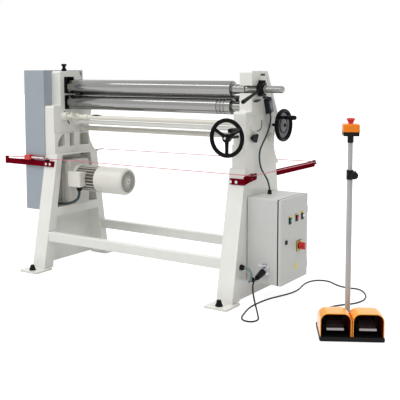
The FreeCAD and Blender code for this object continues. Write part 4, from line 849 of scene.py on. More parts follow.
# ------------------------------------------------------------------ hand controls
@dataclass
class HandControls:
    """Handwheels, journal clamp, limit switch, knobs and cross shafts."""

    front: Point = (0.73, -0.318, 0.943)
    rim_r: float = 0.098
    rim_section: float = 0.012
    grip_r: float = 0.101
    grip_y: float = -0.331
    shaft_ys: Pair = (-0.3, -0.114)
    spoke_angles: tuple[float, ...] = (30.0, 150.0, 270.0)
    side: Point = (0.861, 0.103, 0.995)
    side_grip: Point = (0.8803, 0.033, 1.045)
    lift_end: Point = (-0.451, -0.096, 1.0175)
    stud: Point = (-0.734, -0.04, 1.292)
    cover_screws: Pairs = ((-0.0085, 0.028), (0.0085, -0.028))
    switch: Point = (0.79, 0.056, 1.108)
    switch_lean: float = 18.0
    grip_bore: float = 0.00505

    def build(self) -> None:
        """Builds the whole sub-assembly."""
        fit(self.front_wheel(), "front_wheel_rim_and_spokes", PAINT.wheel, "front_handwheel")
        fit(self.front_nut(), "front_wheel_nut", PAINT.zinc, body="front_wheel")
        fit(self.grip(self.grip_at(self.grip_y), FRONT, 0.11), "front_wheel_grip", PAINT.wheel,
            "front_grip")
        fit(self.side_rim(), "side_wheel_rim", PAINT.wheel, "side_handwheel")
        fit(self.side_web(), "side_wheel_web", PAINT.web, body="side_wheel")
        fit(self.side_shaft(), "side_wheel_hub_and_shaft", PAINT.wheel, body="side_wheel")
        fit(self.side_spindle(), "side_wheel_spindle", PAINT.wheel, body="side_wheel")
        fit(self.grip(self.side_grip, RIGHT, 0.099), "side_wheel_grip", PAINT.wheel, "side_grip")
        refit("journal_clamp", "clamp_ring_and_lever", PAINT.black, 0.0016, 3, 42)
        refit("limit_switch", "limit_switch_case", PAINT.navy, 0.0012, 3, 40)
        # The cover's lighter navy is partly a painted highlight.
        fit(self.switch_cover(), "limit_switch_cover", PAINT.steel_blue)
        refit("switch_lever", "roller_lever", PAINT.black, 0.0006, 2)
        fit(self.spool(), "spool_knob", PAINT.wheel, "top_knob")
        refit("lock_knob", "pointer_lock_knob", PAINT.wheel, 0.002, 3, 40)
        refit("pinch_shaft", "pinch_lift_shaft", PAINT.shaft, 0.001)
        fit(self.lift_tip(), "pinch_lift_tip", PAINT.black, body="pinch_bar")
        refit("bending_shaft", "bending_lift_shaft", PAINT.shaft, 0.001)

    def lift_tip(self) -> Piece:
        """Flat rounded tip on the pinch shaft."""
        return lathe([(0, 0), (0.002, 0.006), (0.02, 0.01), (0.06, 0.0115), (0.09, 0.0085), (0.102, 0.0045),
                      (0.105, 0)], self.lift_end, RIGHT, 24)

    def grip_at(self, y: float) -> Point:
        """Point on the front grip's axis at a depth y, beside the first spoke."""
        way = self.spoke_way(self.spoke_angles[0])
        return (self.front[0] + self.grip_r * way.x, y, self.front[2] + self.grip_r * way.z)

    def spoke_way(self, angle: float) -> Vector:
        """Direction of a front spoke."""
        return Vector((math.cos(math.radians(angle)), 0, math.sin(math.radians(angle))))

    def front_wheel(self) -> Piece:
        """Round rim with three flared spokes, hub, shaft and the grip's spindle."""
        x, _, z = self.front
        parts = [hoop(self.front, REAR, self.rim_r, self.rim_section)]
        parts.append(lathe([(-0.016, 0.0195), (-0.0125, 0.0235), (0.012, 0.024), (0.022, 0.0205),
                            (0.024, 0.0185)], self.front, REAR, 48, edge=0.001))
        near, far = self.shaft_ys
        parts.append(rod((x, near, z), (x, far, z), 0.008))
        flare = [(0.01, 0.014), (0.02, 0.013), (0.034, 0.0108), (0.06, 0.0098), (0.078, 0.01),
                 (0.088, 0.0106), (0.094, 0.0114)]
        parts += [lathe(flare, self.front, self.spoke_way(angle), 24) for angle in self.spoke_angles]
        parts.append(rod(self.grip_at(self.grip_y + 0.011), self.grip_at(self.grip_y - 0.105), 0.005))
        return join(parts)

    def front_nut(self) -> Piece:
        """Domed nut that holds the front wheel."""
        x, y, z = self.front
        return join([hex_head((x, y - 0.016, z), FRONT, 0.013, 0.006, False),
                     lathe([(0.004, 0.0052), (0.009, 0.004), (0.0108, 0)], (x, y - 0.016, z), FRONT, 20)])

    def grip(self, start: Point, axis: Point, length: float) -> Piece:
        """Turned grip with a waist, a swell and a domed end."""
        profile = [(0, self.grip_bore), (0, 0.0086), (0.0012, 0.0097), (0.004, 0.0106), (0.0064, 0.01),
                   (0.0095, 0.0084), (0.013, 0.0082), (0.022, 0.0097), (0.034, 0.0112), (0.05, 0.0124),
                   (0.07, 0.0132), (length - 0.018, 0.0135), (length - 0.01, 0.0129),
                   (length - 0.0045, 0.0108), (length - 0.0012, 0.0066), (length, 0.0),
                   (length - 0.003, 0.0), (length - 0.003, self.grip_bore), (0, self.grip_bore)]
        return lathe(profile, start, axis, 40)

    def side_rim(self) -> Piece:
        """Rim of the dished wheel."""
        profile = [(-0.009, 0.077), (-0.012, 0.087), (-0.0108, 0.092), (-0.006, 0.0955), (0.001, 0.097),
                   (0.008, 0.0958), (0.0128, 0.0925), (0.015, 0.0865), (0.0143, 0.083), (0.0112, 0.0795),
                   (0.004, 0.075), (-0.003, 0.074), (-0.009, 0.077)]
        return lathe(profile, self.side, RIGHT, 96)

    def side_web(self) -> Piece:
        """Dished web of the side wheel."""
        profile = [(-0.014, 0), (-0.014, 0.019), (-0.013, 0.02), (-0.005, 0.0285), (-0.004, 0.033),
                   (-0.0105, 0.058), (-0.0092, 0.076), (-0.002, 0.076), (0.0005, 0.071), (-0.0045, 0.059),
                   (-0.001, 0.044), (0.004, 0.033), (0.009, 0.0235), (0.0098, 0.02), (0.01, 0)]
        return lathe(profile, self.side, RIGHT, 96)

    def side_shaft(self) -> Piece:
        """Hub and shaft behind the side wheel."""
        x, y, z = self.side
        ring = lathe([(-0.006, 0.04), (0.0016, 0.04), (0.0002, 0.048), (-0.006, 0.048), (-0.006, 0.04)],
                     self.side, RIGHT, 72)
        return join([ring, rod((x - 0.0145, y, z), (x - 0.041, y, z), 0.022, 0.012),
                     rod((0.706, y, z), (x - 0.012, y, z), 0.008)])

    def side_spindle(self) -> Piece:
        """Spindle and collar of the side wheel's grip, and the hub's screw."""
        _, y, z = self.side_grip
        x, hub_y, hub_z = self.side
        collar = [(0, 0.0118), (0.0008, 0.012), (0.0112, 0.012), (0.012, 0.0112)]
        return join([rod((x + 0.005, y, z), (x + 0.105, y, z), 0.005),
                     lathe(collar, (x + 0.007, y, z), RIGHT, 32),
                     hex_head((x + 0.01, hub_y, hub_z), RIGHT, 0.014, 0.006)])

    def switch_cover(self) -> Piece:
        """Raised front cover of the limit switch with its two screws."""
        parts = [block((0.013, -0.0135, -0.033), (0.0156, 0.0135, 0.033), 0.001)]
        parts += [cap_head((0.0156, y, z), RIGHT, 0.0024, 0.0014) for y, z in self.cover_screws]
        return shift(join(parts), self.switch, Matrix.Rotation(math.radians(self.switch_lean), 4, "X"))

    def spool(self) -> Piece:
        """Spool-shaped knob on its stud."""
        return lathe([(0, 0.006), (0.0183, 0.006), (0.0183, 0.0145), (0.0195, 0.016), (0.024, 0.0178),
                      (0.029, 0.018), (0.032, 0.0165), (0.035, 0.0122), (0.04, 0.0106), (0.047, 0.0106),
                      (0.051, 0.0124), (0.054, 0.0165), (0.056, 0.018), (0.062, 0.018), (0.0655, 0.0168),
                      (0.0668, 0.014), (0.067, 0)], self.stud, UP, 40)


# ------------------------------------------------------------------ cabinet
@dataclass
class Cabinet:
    """Control cabinet with its gasket, door, buttons, lamp, main switch and lock."""

    front_x: float = 0.969
    y: Pair = (-0.17, 0.162)
    z: Pair = (0.113, 0.598)
    door_x: Pair = (0.977, 0.993)
    seal: float = 0.01
    buttons: Pairs = ((-0.061, 0.472), (0.023, 0.476))
    lamp: Pair = (0.097, 0.476)
    rotary: Pair = (0.054, 0.307)
    label: Pairs = ((-0.008, 0.178), (0.04, 0.178), (0.016, 0.22))

    def build(self) -> None:
        """Builds the whole sub-assembly."""
        refit("cabinet_body", "cabinet_shell", PAINT.cabinet, 0.001, 2, 40)
        fit(self.gasket(), "door_gasket", PAINT.gland, body="door")
        refit("cabinet_door", "cabinet_door_pan", PAINT.cabinet, 0.0012, 2, 40)
        fit(self.bezels(), "button_bezels", PAINT.gland, body="door")
        fit(self.caps(), "bezel_caps", PAINT.yellow, "panel_fittings")
        fit(self.button(*self.buttons[0], 0.0), "start_button", PAINT.green, "green_button")
        fit(self.button(*self.buttons[1], 0.002), "stop_button", PAINT.red, "red_button")
        fit(self.pilot(), "pilot_lamp", PAINT.lamp, body="door")
        fit(self.switch_base(), "main_switch_base", PAINT.gland, body="door")
        fit(self.switch_plate(), "main_switch_plate", PAINT.yellow, body="door")
        fit(self.handle(), "main_switch_handle", PAINT.red, "main_switch")
        fit(self.triangle(), "blank_triangle", PAINT.yellow, body="door")
        refit("door_lock", "quarter_turn_lock", PAINT.gland, 0.0006, 2)

    def gasket(self) -> Piece:
        """Rubber seal between body and door, four bars."""
        x0, x1 = self.front_x - 0.0015, self.door_x[0] + 0.0125
        y0, y1, z0, z1 = self.y[0] + 0.0006, self.y[1] - 0.0006, self.z[0] + 0.0006, self.z[1] + 0.0005
        w = self.seal
        bars = [((y0, z0), (y1, z0 + w)), ((y0, z1 - w), (y1, z1)), ((y0, z0 + w), (y0 + w, z1 - w)),
                ((y1 - w, z0 + w), (y1, z1 - w))]
        return join([block((x0, *low), (x1, *high), 0.001, 1) for low, high in bars])

    def bezels(self) -> Piece:
        """Black bezels round both buttons and the lamp."""
        section = [(-0.002, 0.0152), (0.0008, 0.0152), (0.005, 0.0142), (0.0078, 0.0134), (0.0084, 0.0124)]
        made = []
        for spot in (*self.buttons, self.lamp):
            made.append(lathe(section, (self.door_x[1], *spot), RIGHT, 40, bore=0.0112))
            made.append(self.plate(spot, (0.0165, 0.024, 0.0215), (-0.0005, 0.0022), 0.003, 3))
        return join(made)

    def plate(self, spot: Pair, reach: Point, depth: Pair, edge: float, segments: int) -> Piece:
        """Rounded plate on the door, reaching sideways, down and up from a spot."""
        (y, z), (side, below, above), (near, far) = spot, reach, depth
        x = self.door_x[1]
        return block((x + near, y - side, z - below), (x + far, y + side, z + above), edge, segments)

    def caps(self) -> Piece:
        """Small yellow label holders over the bezels, left blank."""
        return join([self.plate(spot, (0.0135, -0.0145, 0.0245), (0.0015, 0.0046), 0.0016, 3)
                     for spot in (*self.buttons, self.lamp)])

    def button(self, y: float, z: float, crown: float) -> Piece:
        """Push button with a soft rim and a slightly hollow or raised face."""
        profile = [(-0.01, 0), (-0.01, 0.0093), (0.0048, 0.0093), (0.0048, 0.0106), (0.0085, 0.0106),
                   (0.01, 0.0098), (0.0108 + crown * 0.5, 0.0084), (0.0104 + crown, 0.006),
                   (0.01 + crown, 0)]
        return lathe(profile, (self.door_x[1], y, z), RIGHT, 36)

    def pilot(self) -> Piece:
        """Domed lamp lens."""
        return lathe([(-0.001, 0.0108), (0.0088, 0.0108), (0.0112, 0.0098), (0.0136, 0.007),
                      (0.015, 0.0032), (0.0153, 0)], (self.door_x[1], *self.lamp), RIGHT, 36)

    def switch_base(self) -> Piece:
        """Black base plate and collar of the main switch."""
        plate = self.plate(self.rotary, (0.031, 0.031, 0.031), (-0.0003, 0.003), 0.004, 4)
        collar = [(0.003, 0.0225), (0.0078, 0.0225), (0.009, 0.0212)]
        return join([plate, lathe(collar, (self.door_x[1], *self.rotary), RIGHT, 48, bore=0.0062)])

    def switch_plate(self) -> Piece:
        """Yellow plate of the main switch, left blank."""
        return self.plate(self.rotary, (0.0275, 0.0275, 0.0275), (0.0029, 0.0041), 0.003, 4)

    def handle(self) -> Piece:
        """Red rotary handle: a disc with a tall blade, and its spindle."""
        y, z = self.rotary
        x = self.door_x[1]
        disc = lathe([(0.0093, 0.02), (0.0102, 0.021), (0.0148, 0.0205), (0.0168, 0.0185), (0.017, 0)],
                     (x, y, z), RIGHT, 48)
        blade = self.plate(self.rotary, (0.0085, 0.0205, 0.0205), (0.015, 0.042), 0.004, 4)
        return join([disc, blade, rod((x - 0.02, y, z), (x + 0.012, y, z), 0.006)])

    def triangle(self) -> Piece:
        """Blank triangular plate."""
        x = self.door_x[1] - 0.0001
        return slab([(x, y, z) for y, z in self.label], (0.0009, 0, 0), 0.0004, 1)


# ------------------------------------------------------------------ cables
@dataclass
class Wiring:
    """Fixed cables, their glands, the socket with its plug, and the pedal unit's cable."""

    switch_cable: tuple[Point, ...] = (
        (0.79, 0.0706, 1.063), (0.79, 0.079, 1.037), (0.79, 0.07, 1.003), (0.79, 0.05, 0.965),
        (0.791, 0.016, 0.927), (0.792, -0.022, 0.893), (0.792, -0.056, 0.857), (0.792, -0.062, 0.8),
        (0.794, -0.038, 0.742), (0.802, -0.006, 0.705), (0.818, 0.008, 0.664), (0.824, 0.008, 0.6222))
    leg_conduit: tuple[Point, ...] = (
        (0.7992, -0.235, 0.207), (0.825, -0.236, 0.206), (0.846, -0.242, 0.188), (0.848, -0.246, 0.158),
        (0.836, -0.24, 0.133), (0.817, -0.218, 0.128), (0.816, -0.1902, 0.128))
    motor_conduit: tuple[Point, ...] = (
        (-0.56, -0.096, 0.5118), (-0.56, -0.096, 0.478), (-0.58, -0.106, 0.444), (-0.63, -0.122, 0.424),
        (-0.69, -0.136, 0.418), (-0.7618, -0.136, 0.418))
    floor_z: float = 0.006
    cable_r: float = 0.0046
    socket: Point = (0.897, -0.178, 0.196)
    socket_tilt: float = 16.0
    rib_pitch: float = 0.0034
    rib_depth: float = 0.00055
    conduit_sides: int = 18
    nuts: tuple[tuple[Point, Point, float, float], ...] = (
        ((0.774, -0.235, 0.207), RIGHT, 0.015, 0.025), ((0.816, -0.17, 0.128), FRONT, 0.013, 0.02),
        ((0.824, 0.008, 0.598), UP, 0.012, 0.024), ((-0.56, -0.096, 0.541), DOWN, 0.018, 0.031))

    def build(self) -> None:
        """Builds the whole sub-assembly."""
        fit(curve(self.switch_cable, 0.0052), "limit_switch_cable", PAINT.dark_cable, "wiring")
        fit(self.ribbed(self.leg_conduit, 0.0068), "leg_conduit", PAINT.conduit)
        fit(self.ribbed(self.motor_conduit, 0.0095), "motor_conduit", PAINT.dark_cable)
        fit(self.glands(), "gland_nuts", PAINT.gland, "cable_glands")
        refit("cable_socket", "panel_socket", PAINT.socket, 0.0008, 2, 40)
        refit("socket_flap", "panel_socket_flap", PAINT.socket, 0.0008, 2, 40)
        plug = fit(self.plug(), "cable_plug", PAINT.gland, "pedal_plug")
        cable = fit(curve(self.route(), self.cable_r, 8), "pedal_unit_cable", PAINT.rubber, "pedal_cable")
        self.length(cable)

    def route(self) -> list[Point]:
        """Control points of the pedal unit's cable, from the plug over the floor to the base."""
        z = self.floor_z
        return [(0.896, -0.284, 0.1685), (0.9, -0.318, 0.156), (0.914, -0.344, 0.118),
                (0.936, -0.362, 0.066), (0.958, -0.376, 0.028), (0.984, -0.408, z), (1.012, -0.45, z),
                (1.008, -0.502, z), (0.958, -0.516, z), (0.918, -0.476, z), (0.898, -0.41, z),
                (0.876, -0.34, z), (0.864, -0.262, z), (0.866, -0.186, z), (0.876, -0.095, z),
                (0.904, -0.01, z), (0.932, 0.076, z), (0.938, 0.17, z), (0.918, 0.262, z),
                (0.906, 0.352, z), (0.934, 0.432, z), (1.01, 0.452, z), (1.084, 0.392, z), (1.16, 0.366, z),
                (1.232, 0.388, z), (1.292, 0.33, z), (1.336, 0.244, z), (1.346, 0.156, z),
                (1.316, 0.076, z), (1.262, 0.016, z), (1.228, -0.062, z), (1.24, -0.148, z),
                (1.292, -0.212, z), (1.346, -0.248, 0.009), (1.3814, -0.3102, 0.013)]

    def line(self, obj: Piece) -> list[Vector]:
        """Points along a cord's spline, read from the curve without its thickness."""
        thick = obj.data.bevel_depth
        obj.data.bevel_depth = 0.0
        bpy.context.view_layer.update()
        mesh = bpy.data.meshes.new_from_object(obj.evaluated_get(bpy.context.evaluated_depsgraph_get()))
        points = [v.co.copy() for v in mesh.vertices]
        bpy.data.meshes.remove(mesh)
        obj.data.bevel_depth = thick
        return points

    def length(self, obj: Piece) -> float:
        """Length of a cord's spline."""
        points = self.line(obj)
        return round(sum((b - a).length for a, b in zip(points, points[1:])), 3)

    def ribbed(self, points: Sequence[Point], r: float) -> Piece:
        """Flexible conduit: a tube along a smooth line with a wave of shallow ribs."""
        guide = curve(points, r, 24)
        line = self.line(guide)
        bpy.data.objects.remove(guide)
        spots, at = [line[0]], 0.0
        for a, b in zip(line, line[1:]):
            at += (b - a).length
            if at >= self.rib_pitch / 4:
                spots.append(b)
                at = 0.0
        sides, verts, faces = self.conduit_sides, [], []
        up = Vector((0.31, 0.27, 0.91)).normalized()
        for k, spot in enumerate(spots):
            way = (spots[min(k + 1, len(spots) - 1)] - spots[max(k - 1, 0)]).normalized()
            up = (up - way * up.dot(way)).normalized()
            across = way.cross(up)
            swell = r - self.rib_depth * (0.5 - 0.5 * math.cos(k * math.pi / 2))
            turns = [FULL_TURN * side / sides for side in range(sides)]
            verts += [spot + (up * math.cos(a) + across * math.sin(a)) * swell for a in turns]
        for start in range(0, (len(spots) - 1) * sides, sides):
            for side in range(sides):
                there = (side + 1) % sides
                faces.append((start + side, start + there, start + sides + there, start + sides + side))
        faces.append(tuple(reversed(range(sides))))
        faces.append(tuple(range(len(verts) - sides, len(verts))))
        mesh = bpy.data.meshes.new("conduit")
        mesh.from_pydata(verts, [], faces)
        return smooth(link("conduit", mesh), 60)

    def glands(self) -> Piece:
        """Hexagon nuts with stepped caps."""
        steps = ((0.34, 0.84), (0.46, 0.84), (0.48, 0.95), (0.72, 0.95), (0.9, 0.8), (1.0, 0.62))
        made = []
        for point, axis, r, length in self.nuts:
            made.append(hex_head(point, axis, 2 * r, length * 0.36, False))
            made.append(lathe([(length * a, r * b) for a, b in steps], point, axis, 32))
        return join(made)

    def plug_spot(self, s: float) -> Vector:
        """Point at a distance along the tilted socket's axis."""
        x, y, z = self.socket
        a = math.radians(self.socket_tilt)
        return Vector((x, y - s * math.cos(a), z - s * math.sin(a)))

    def plug(self) -> Piece:
        """Plug with a knurled locking ring, a tapered shell and a strain relief."""
        way = self.plug_spot(1.0) - self.plug_spot(0.0)
        profile = [(0.003, 0), (0.003, 0.0156), (0.0225, 0.0156), (0.0225, 0.0184), (0.0235, 0.019),
                   (0.039, 0.019), (0.04, 0.0182), (0.042, 0.0176), (0.044, 0.0185), (0.07, 0.0162),
                   (0.088, 0.0142), (0.092, 0.0136), (0.092, 0.01)]
        for k in range(4):
            s = 0.0935 + 0.0036 * k
            r = 0.0098 - 0.0005 * k
            profile += [(s, r), (s + 0.0018, r), (s + 0.0019, r - 0.0012), (s + 0.0035, r - 0.0012)]
        profile += [(0.108, 0.0078), (0.108, 0)]
        body = lathe(profile, self.plug_spot(0.0), way, 40)
        teeth = []
        for k in range(20):
            tooth = block((-0.0011, 0.0176, 0.0245), (0.0011, 0.019, 0.038), 0.0003, 1)
            turn = facing(way) @ Matrix.Rotation(FULL_TURN * k / 20, 4, "Z")
            teeth.append(shift(tooth, self.plug_spot(0.0), turn))
        return join([body, *teeth])


# ------------------------------------------------------------------ pedal unit and stop pole
@dataclass
class PedalUnit:
    """Double pedal with its hoods, and the pole with the emergency stop box."""

    corner: Pair = (1.418, -0.579)
    turn: float = 29.4
    size: Point = (0.316, 0.24, 0.027)
    hood_size: Point = (0.152, 0.176, 0.116)
    hood_starts: Pair = (0.0035, 0.1605)
    pedal_starts: Pair = (0.018, 0.176)
    pole: Pair = (0.158, 0.206)
    knob_spot: Point = (0.176, 0.224, 0.794)
    stem_z: float = 1.028
    hood_r: float = 0.04
    wall: float = 0.0045
    lower_tube: Pairs = ((0.028, 0.014), (0.805, 0.014), (0.806, 0.0132))
    upper_tube: Pairs = ((0.56, 0.012), (0.958, 0.012))
    neck: Pairs = ((0.955, 0.0148), (0.9565, 0.0155), (0.989, 0.0155))
    stop_base: tuple[Point, Point] = ((0.119, 0.166, 0.989), (0.197, 0.246, 1.008))
    stop_lip: tuple[Point, Point] = ((0.1185, 0.1655, 1.0035), (0.1975, 0.2465, 1.0092))
    stop_cover: tuple[Point, Point] = ((0.1175, 0.1645, 1.0094), (0.1985, 0.2475, 1.049))
    stop_step: tuple[Point, Point] = ((0.117, 0.164, 1.0094), (0.199, 0.248, 1.02))
    roof_cuts: tuple[float, ...] = (0.098, 0.14, 0.16, 0.174)
    roof_drops: Pairs = ((0.14, 0.0072), (0.16, 0.015), (0.174, 0.0235), (0.182, 0.033))

    def build(self) -> None:
        """Builds the whole sub-assembly."""
        put = self.put
        fit(put(self.base()), "pedal_unit_base", PAINT.gland, "pedal_base")
        fit(put(self.feet()), "pedal_unit_feet", PAINT.socket)
        hoods = join([self.hood(u) for u in self.hood_starts])
        fit(put(hoods), "pedal_unit_hoods", PAINT.orange, "pedal_hoods")
        fit(put(self.shade_skins()), "hood_shade_skins", PAINT.lining)
        for side, start in zip(SIDES, self.pedal_starts):
            fit(put(self.treadle(start)), side + "_treadle", PAINT.pedal, side + "_pedal")
            fit(put(self.treadle_lip(start)), side + "_treadle_lip", PAINT.lip,
                body=BODY_OF[side + "_pedal"])
        fit(put(self.round_pole(self.lower_tube, 0.0123)), "pole_lower_tube", PAINT.pole, "pole_lower")
        fit(put(self.collar()), "pole_collar", PAINT.gland)
        fit(put(self.round_pole(self.upper_tube, 0.0108)), "pole_upper_tube", PAINT.pole, "pole_upper")
        fit(put(self.round_pole(self.neck, 0.0121)), "stop_box_neck", PAINT.gland, body="mast")
        fit(put(self.box_base()), "stop_box_base", PAINT.gland, body="mast")
        fit(put(self.box_cover()), "stop_box_cover", PAINT.box, "estop_box")
        fit(put(self.mushroom()), "stop_mushroom", PAINT.red, "estop_button")
        fit(put(self.knob()), "pole_clamp_knob", PAINT.gland, "clamp_knob")
        fit(put(self.knob_screw()), "pole_clamp_screw", PAINT.zinc, body="collar_knob")

    def put(self, obj: Piece) -> Piece:
        """Moves a piece from the unit's own axes to its place on the floor."""
        return shift(obj, (*self.corner, 0), Matrix.Rotation(math.radians(self.turn), 4, "Z"))

    def base(self) -> Piece:
        """Base plate with a raised rim, switch blocks and their screws."""
        w, d, h = self.size
        parts = [block((0, 0, 0.003), (w, d, h), 0.008, 4)]
        parts.append(block((0.006, 0.0002, 0.02), (w - 0.006, 0.004, 0.0272), 0.0008, 2))
        for u in self.pedal_starts:
            parts.append(block((u + 0.008, 0.1, h - 0.002), (u + 0.114, 0.165, h + 0.034), 0.003, 3))
            for e in (u + 0.01, u + 0.104):
                parts.append(block((e, 0.118, h + 0.03), (e + 0.008, 0.146, h + 0.066), 0.002, 2))
            parts.append(rod((u + 0.0095, 0.132, h + 0.052), (u + 0.1125, 0.132, h + 0.052), 0.003))
        parts.append(lathe([(0, 0.023), (0.022, 0.023), (0.026, 0.0205)], (*self.pole, h - 0.001), UP, 40,
                           bore=0.0141))
        parts.append(lathe([(0, 0.01), (0.006, 0.01), (0.007, 0.0088), (0.014, 0.0088), (0.02, 0.0074)],
                           (0.1, 0.232, 0.013), REAR, 28))
        return join(parts)

    def feet(self) -> Piece:
        """Four round feet below the corners."""
        w, d, _ = self.size
        return join([lathe([(0, 0.0088), (0.0012, 0.01), (0.006, 0.01)], (u, v, 0), UP, 24)
                     for u in (0.022, w - 0.022) for v in (0.024, d - 0.024)])

    def hood(self, u: float) -> Piece:
        """One guard, open in front: a box with a round roof that drops to the rear, and its wall."""
        w, d, h = self.hood_size
        z0 = self.size[2] + 0.0002
        obj = block((u, 0.006, z0), (u + w, 0.006 + d, z0 + h))
        with editing(obj, "EDGE", every=False):
            self.pick_roof_edges(obj, z0 + h - 0.001)
            bpy.ops.mesh.bevel(offset=self.hood_r, offset_type="OFFSET", segments=9, profile=0.5)
        with editing(obj, every=False):
            pick_faces(obj, lambda normal, _: normal.y < -0.9 or normal.z < -0.9)
            bpy.ops.mesh.delete(type="FACE")
        for at in self.roof_cuts:
            with editing(obj):
                bpy.ops.mesh.bisect(plane_co=(0, at, 0), plane_no=REAR)
        for vert in obj.data.vertices:
            for y, drop in self.roof_drops:
                if abs(vert.co.y - y) < 0.0005 and vert.co.z > z0 + 0.02:
                    vert.co.z -= drop * (vert.co.z - z0) / h
        modify(obj, "SOLIDIFY", thickness=self.wall, offset=-1)
        return round_edges(obj, 0.0013, 3, 40)

    def pick_roof_edges(self, obj: Piece, above: float) -> None:
        """Selects the long edges along Y above a height, in edit mode."""
        bpy.ops.object.mode_set(mode="OBJECT")
        for edge in obj.data.edges:
            a, b = (obj.data.vertices[i].co for i in edge.vertices)
            edge.select = min(a.z, b.z) > above and abs(a.y - b.y) > 0.1
        bpy.ops.object.mode_set(mode="EDIT")

    def shade_skins(self) -> Piece:
        """Dark red inner skins of the hoods: painted shade inside the orange hoods."""
        w, d, h = self.hood_size
        made = []
        for u in self.hood_starts:
            z0, t = self.size[2] + 0.0004, self.wall + 0.0003
            r = self.hood_r - t
            u0, u1, top = u + t, u + w - t, z0 + h - t
            outline = [(u0, z0), *arc((u0 + r, top - r), r, [180 - 11.25 * k for k in range(9)]),
                       *arc((u1 - r, top - r), r, [90 - 11.25 * k for k in range(9)]), (u1, z0)]
            skin = chain([(a, 0.0125, b) for a, b in outline])
            with editing(skin, "VERT"):
                bpy.ops.mesh.extrude_region_move(TRANSFORM_OT_translate={"value": (0, 0.084, 0)})
                bpy.ops.mesh.extrude_region_move(TRANSFORM_OT_translate={"value": (0, 0.066, -0.02)})
            for vert in skin.data.vertices:
                if vert.co.y > 0.16:
                    vert.co.z = max(z0, vert.co.z)
            with editing(skin, "VERT"):
                bpy.ops.mesh.normals_make_consistent(inside=True)
            modify(skin, "SOLIDIFY", thickness=0.0006, offset=0)
            made.append(smooth(skin, 40))
            # Dark plate on the hood's rear wall: painted shade as well.
            back = block((u0 + 0.001, d - 0.014, z0), (u1 - 0.001, d - 0.0128, top - 0.032), 0.0004, 1)
            made.append(back)
        return join(made)

    def treadle(self, u: float) -> Piece:
        """Sloping pad with ribs across its front and a rounded lip."""
        h = self.size[2]
        side = ((0.03, 0.025), (0.0305, 0.0325), (0.036, 0.0345), (0.118, 0.0585), (0.148, 0.059),
                (0.148, 0.046), (0.12, 0.048))
        pad = slab([(u + 0.019, v, h + rise) for v, rise in side], (0.084, 0, 0), 0.0012, 2)
        ribs = []
        for k in range(6):
            v = 0.04 + 0.0115 * k
            z = h + 0.0345 + (v - 0.036) * 0.2927
            ribs.append(block((u + 0.024, v, z - 0.002), (u + 0.098, v + 0.0042, z + 0.0018), 0.0006, 2))
        return join([pad, *ribs])

    def treadle_lip(self, u: float) -> Piece:
        """Pale rounded front edge of a treadle."""
        h = self.size[2]
        return block((u + 0.0186, 0.0288, h + 0.024), (u + 0.1034, 0.035, h + 0.0358), 0.002, 3)

    def round_pole(self, section: Pairs, bore: float) -> Piece:
        """Bored body round the pole, at heights over the floor."""
        return lathe(section, (*self.pole, 0), UP, 40, bore)

    def collar(self) -> Piece:
        """Split clamp collar with its two ears."""
        body = self.round_pole([(0.77, 0.017), (0.771, 0.0175), (0.817, 0.0175), (0.818, 0.017),
                                (0.818, 0.0125), (0.8065, 0.0125)], 0.0142)
        u, v = self.pole
        ears = [block((u + 0.015, v + s, 0.776), (u + 0.031, v + s + 0.0058, 0.812), 0.002, 3)
                for s in (-0.0068, 0.001)]
        return join([body, *ears])

    def box_base(self) -> Piece:
        """Black lower half of the stop box with a thin lip."""
        return join([block(*self.stop_base, 0.004, 4), block(*self.stop_lip, 0.0015, 2)])

    def box_cover(self) -> Piece:
        """Orange cover with rounded corners, a step at its foot and the button's collar."""
        collar = self.round_pole([(1.048, 0.019), (1.0488, 0.0186), (1.0492, 0.0178)], 0.0126)
        return join([block(*self.stop_cover, 0.0065, 5), block(*self.stop_step, 0.003, 3), collar])

    def mushroom(self) -> Piece:
        """Mushroom button with a waisted stem and a shallow crown."""
        section = [(0, 0.012), (0.0282, 0.012), (0.0286, 0.015), (0.033, 0.016), (0.038, 0.0185),
                   (0.0412, 0.0212), (0.043, 0.0215), (0.0462, 0.0213), (0.048, 0.0202), (0.0505, 0.015),
                   (0.0516, 0.008), (0.052, 0)]
        return lathe(section, (*self.pole, self.stem_z), UP, 48)

    def knob(self) -> Piece:
        """Turned hand knob."""
        return lathe([(0.038, 0.0125), (0.0388, 0.014), (0.044, 0.0176), (0.047, 0.019), (0.057, 0.019),
                      (0.06, 0.018), (0.063, 0.015), (0.064, 0.011)], self.knob_spot, FRONT, 48)

    def knob_screw(self) -> Piece:
        """Screw of the hand knob."""
        u, v, z = self.knob_spot
        return rod((u, v - 0.0005, z), (u, v - 0.039, z), 0.0039)


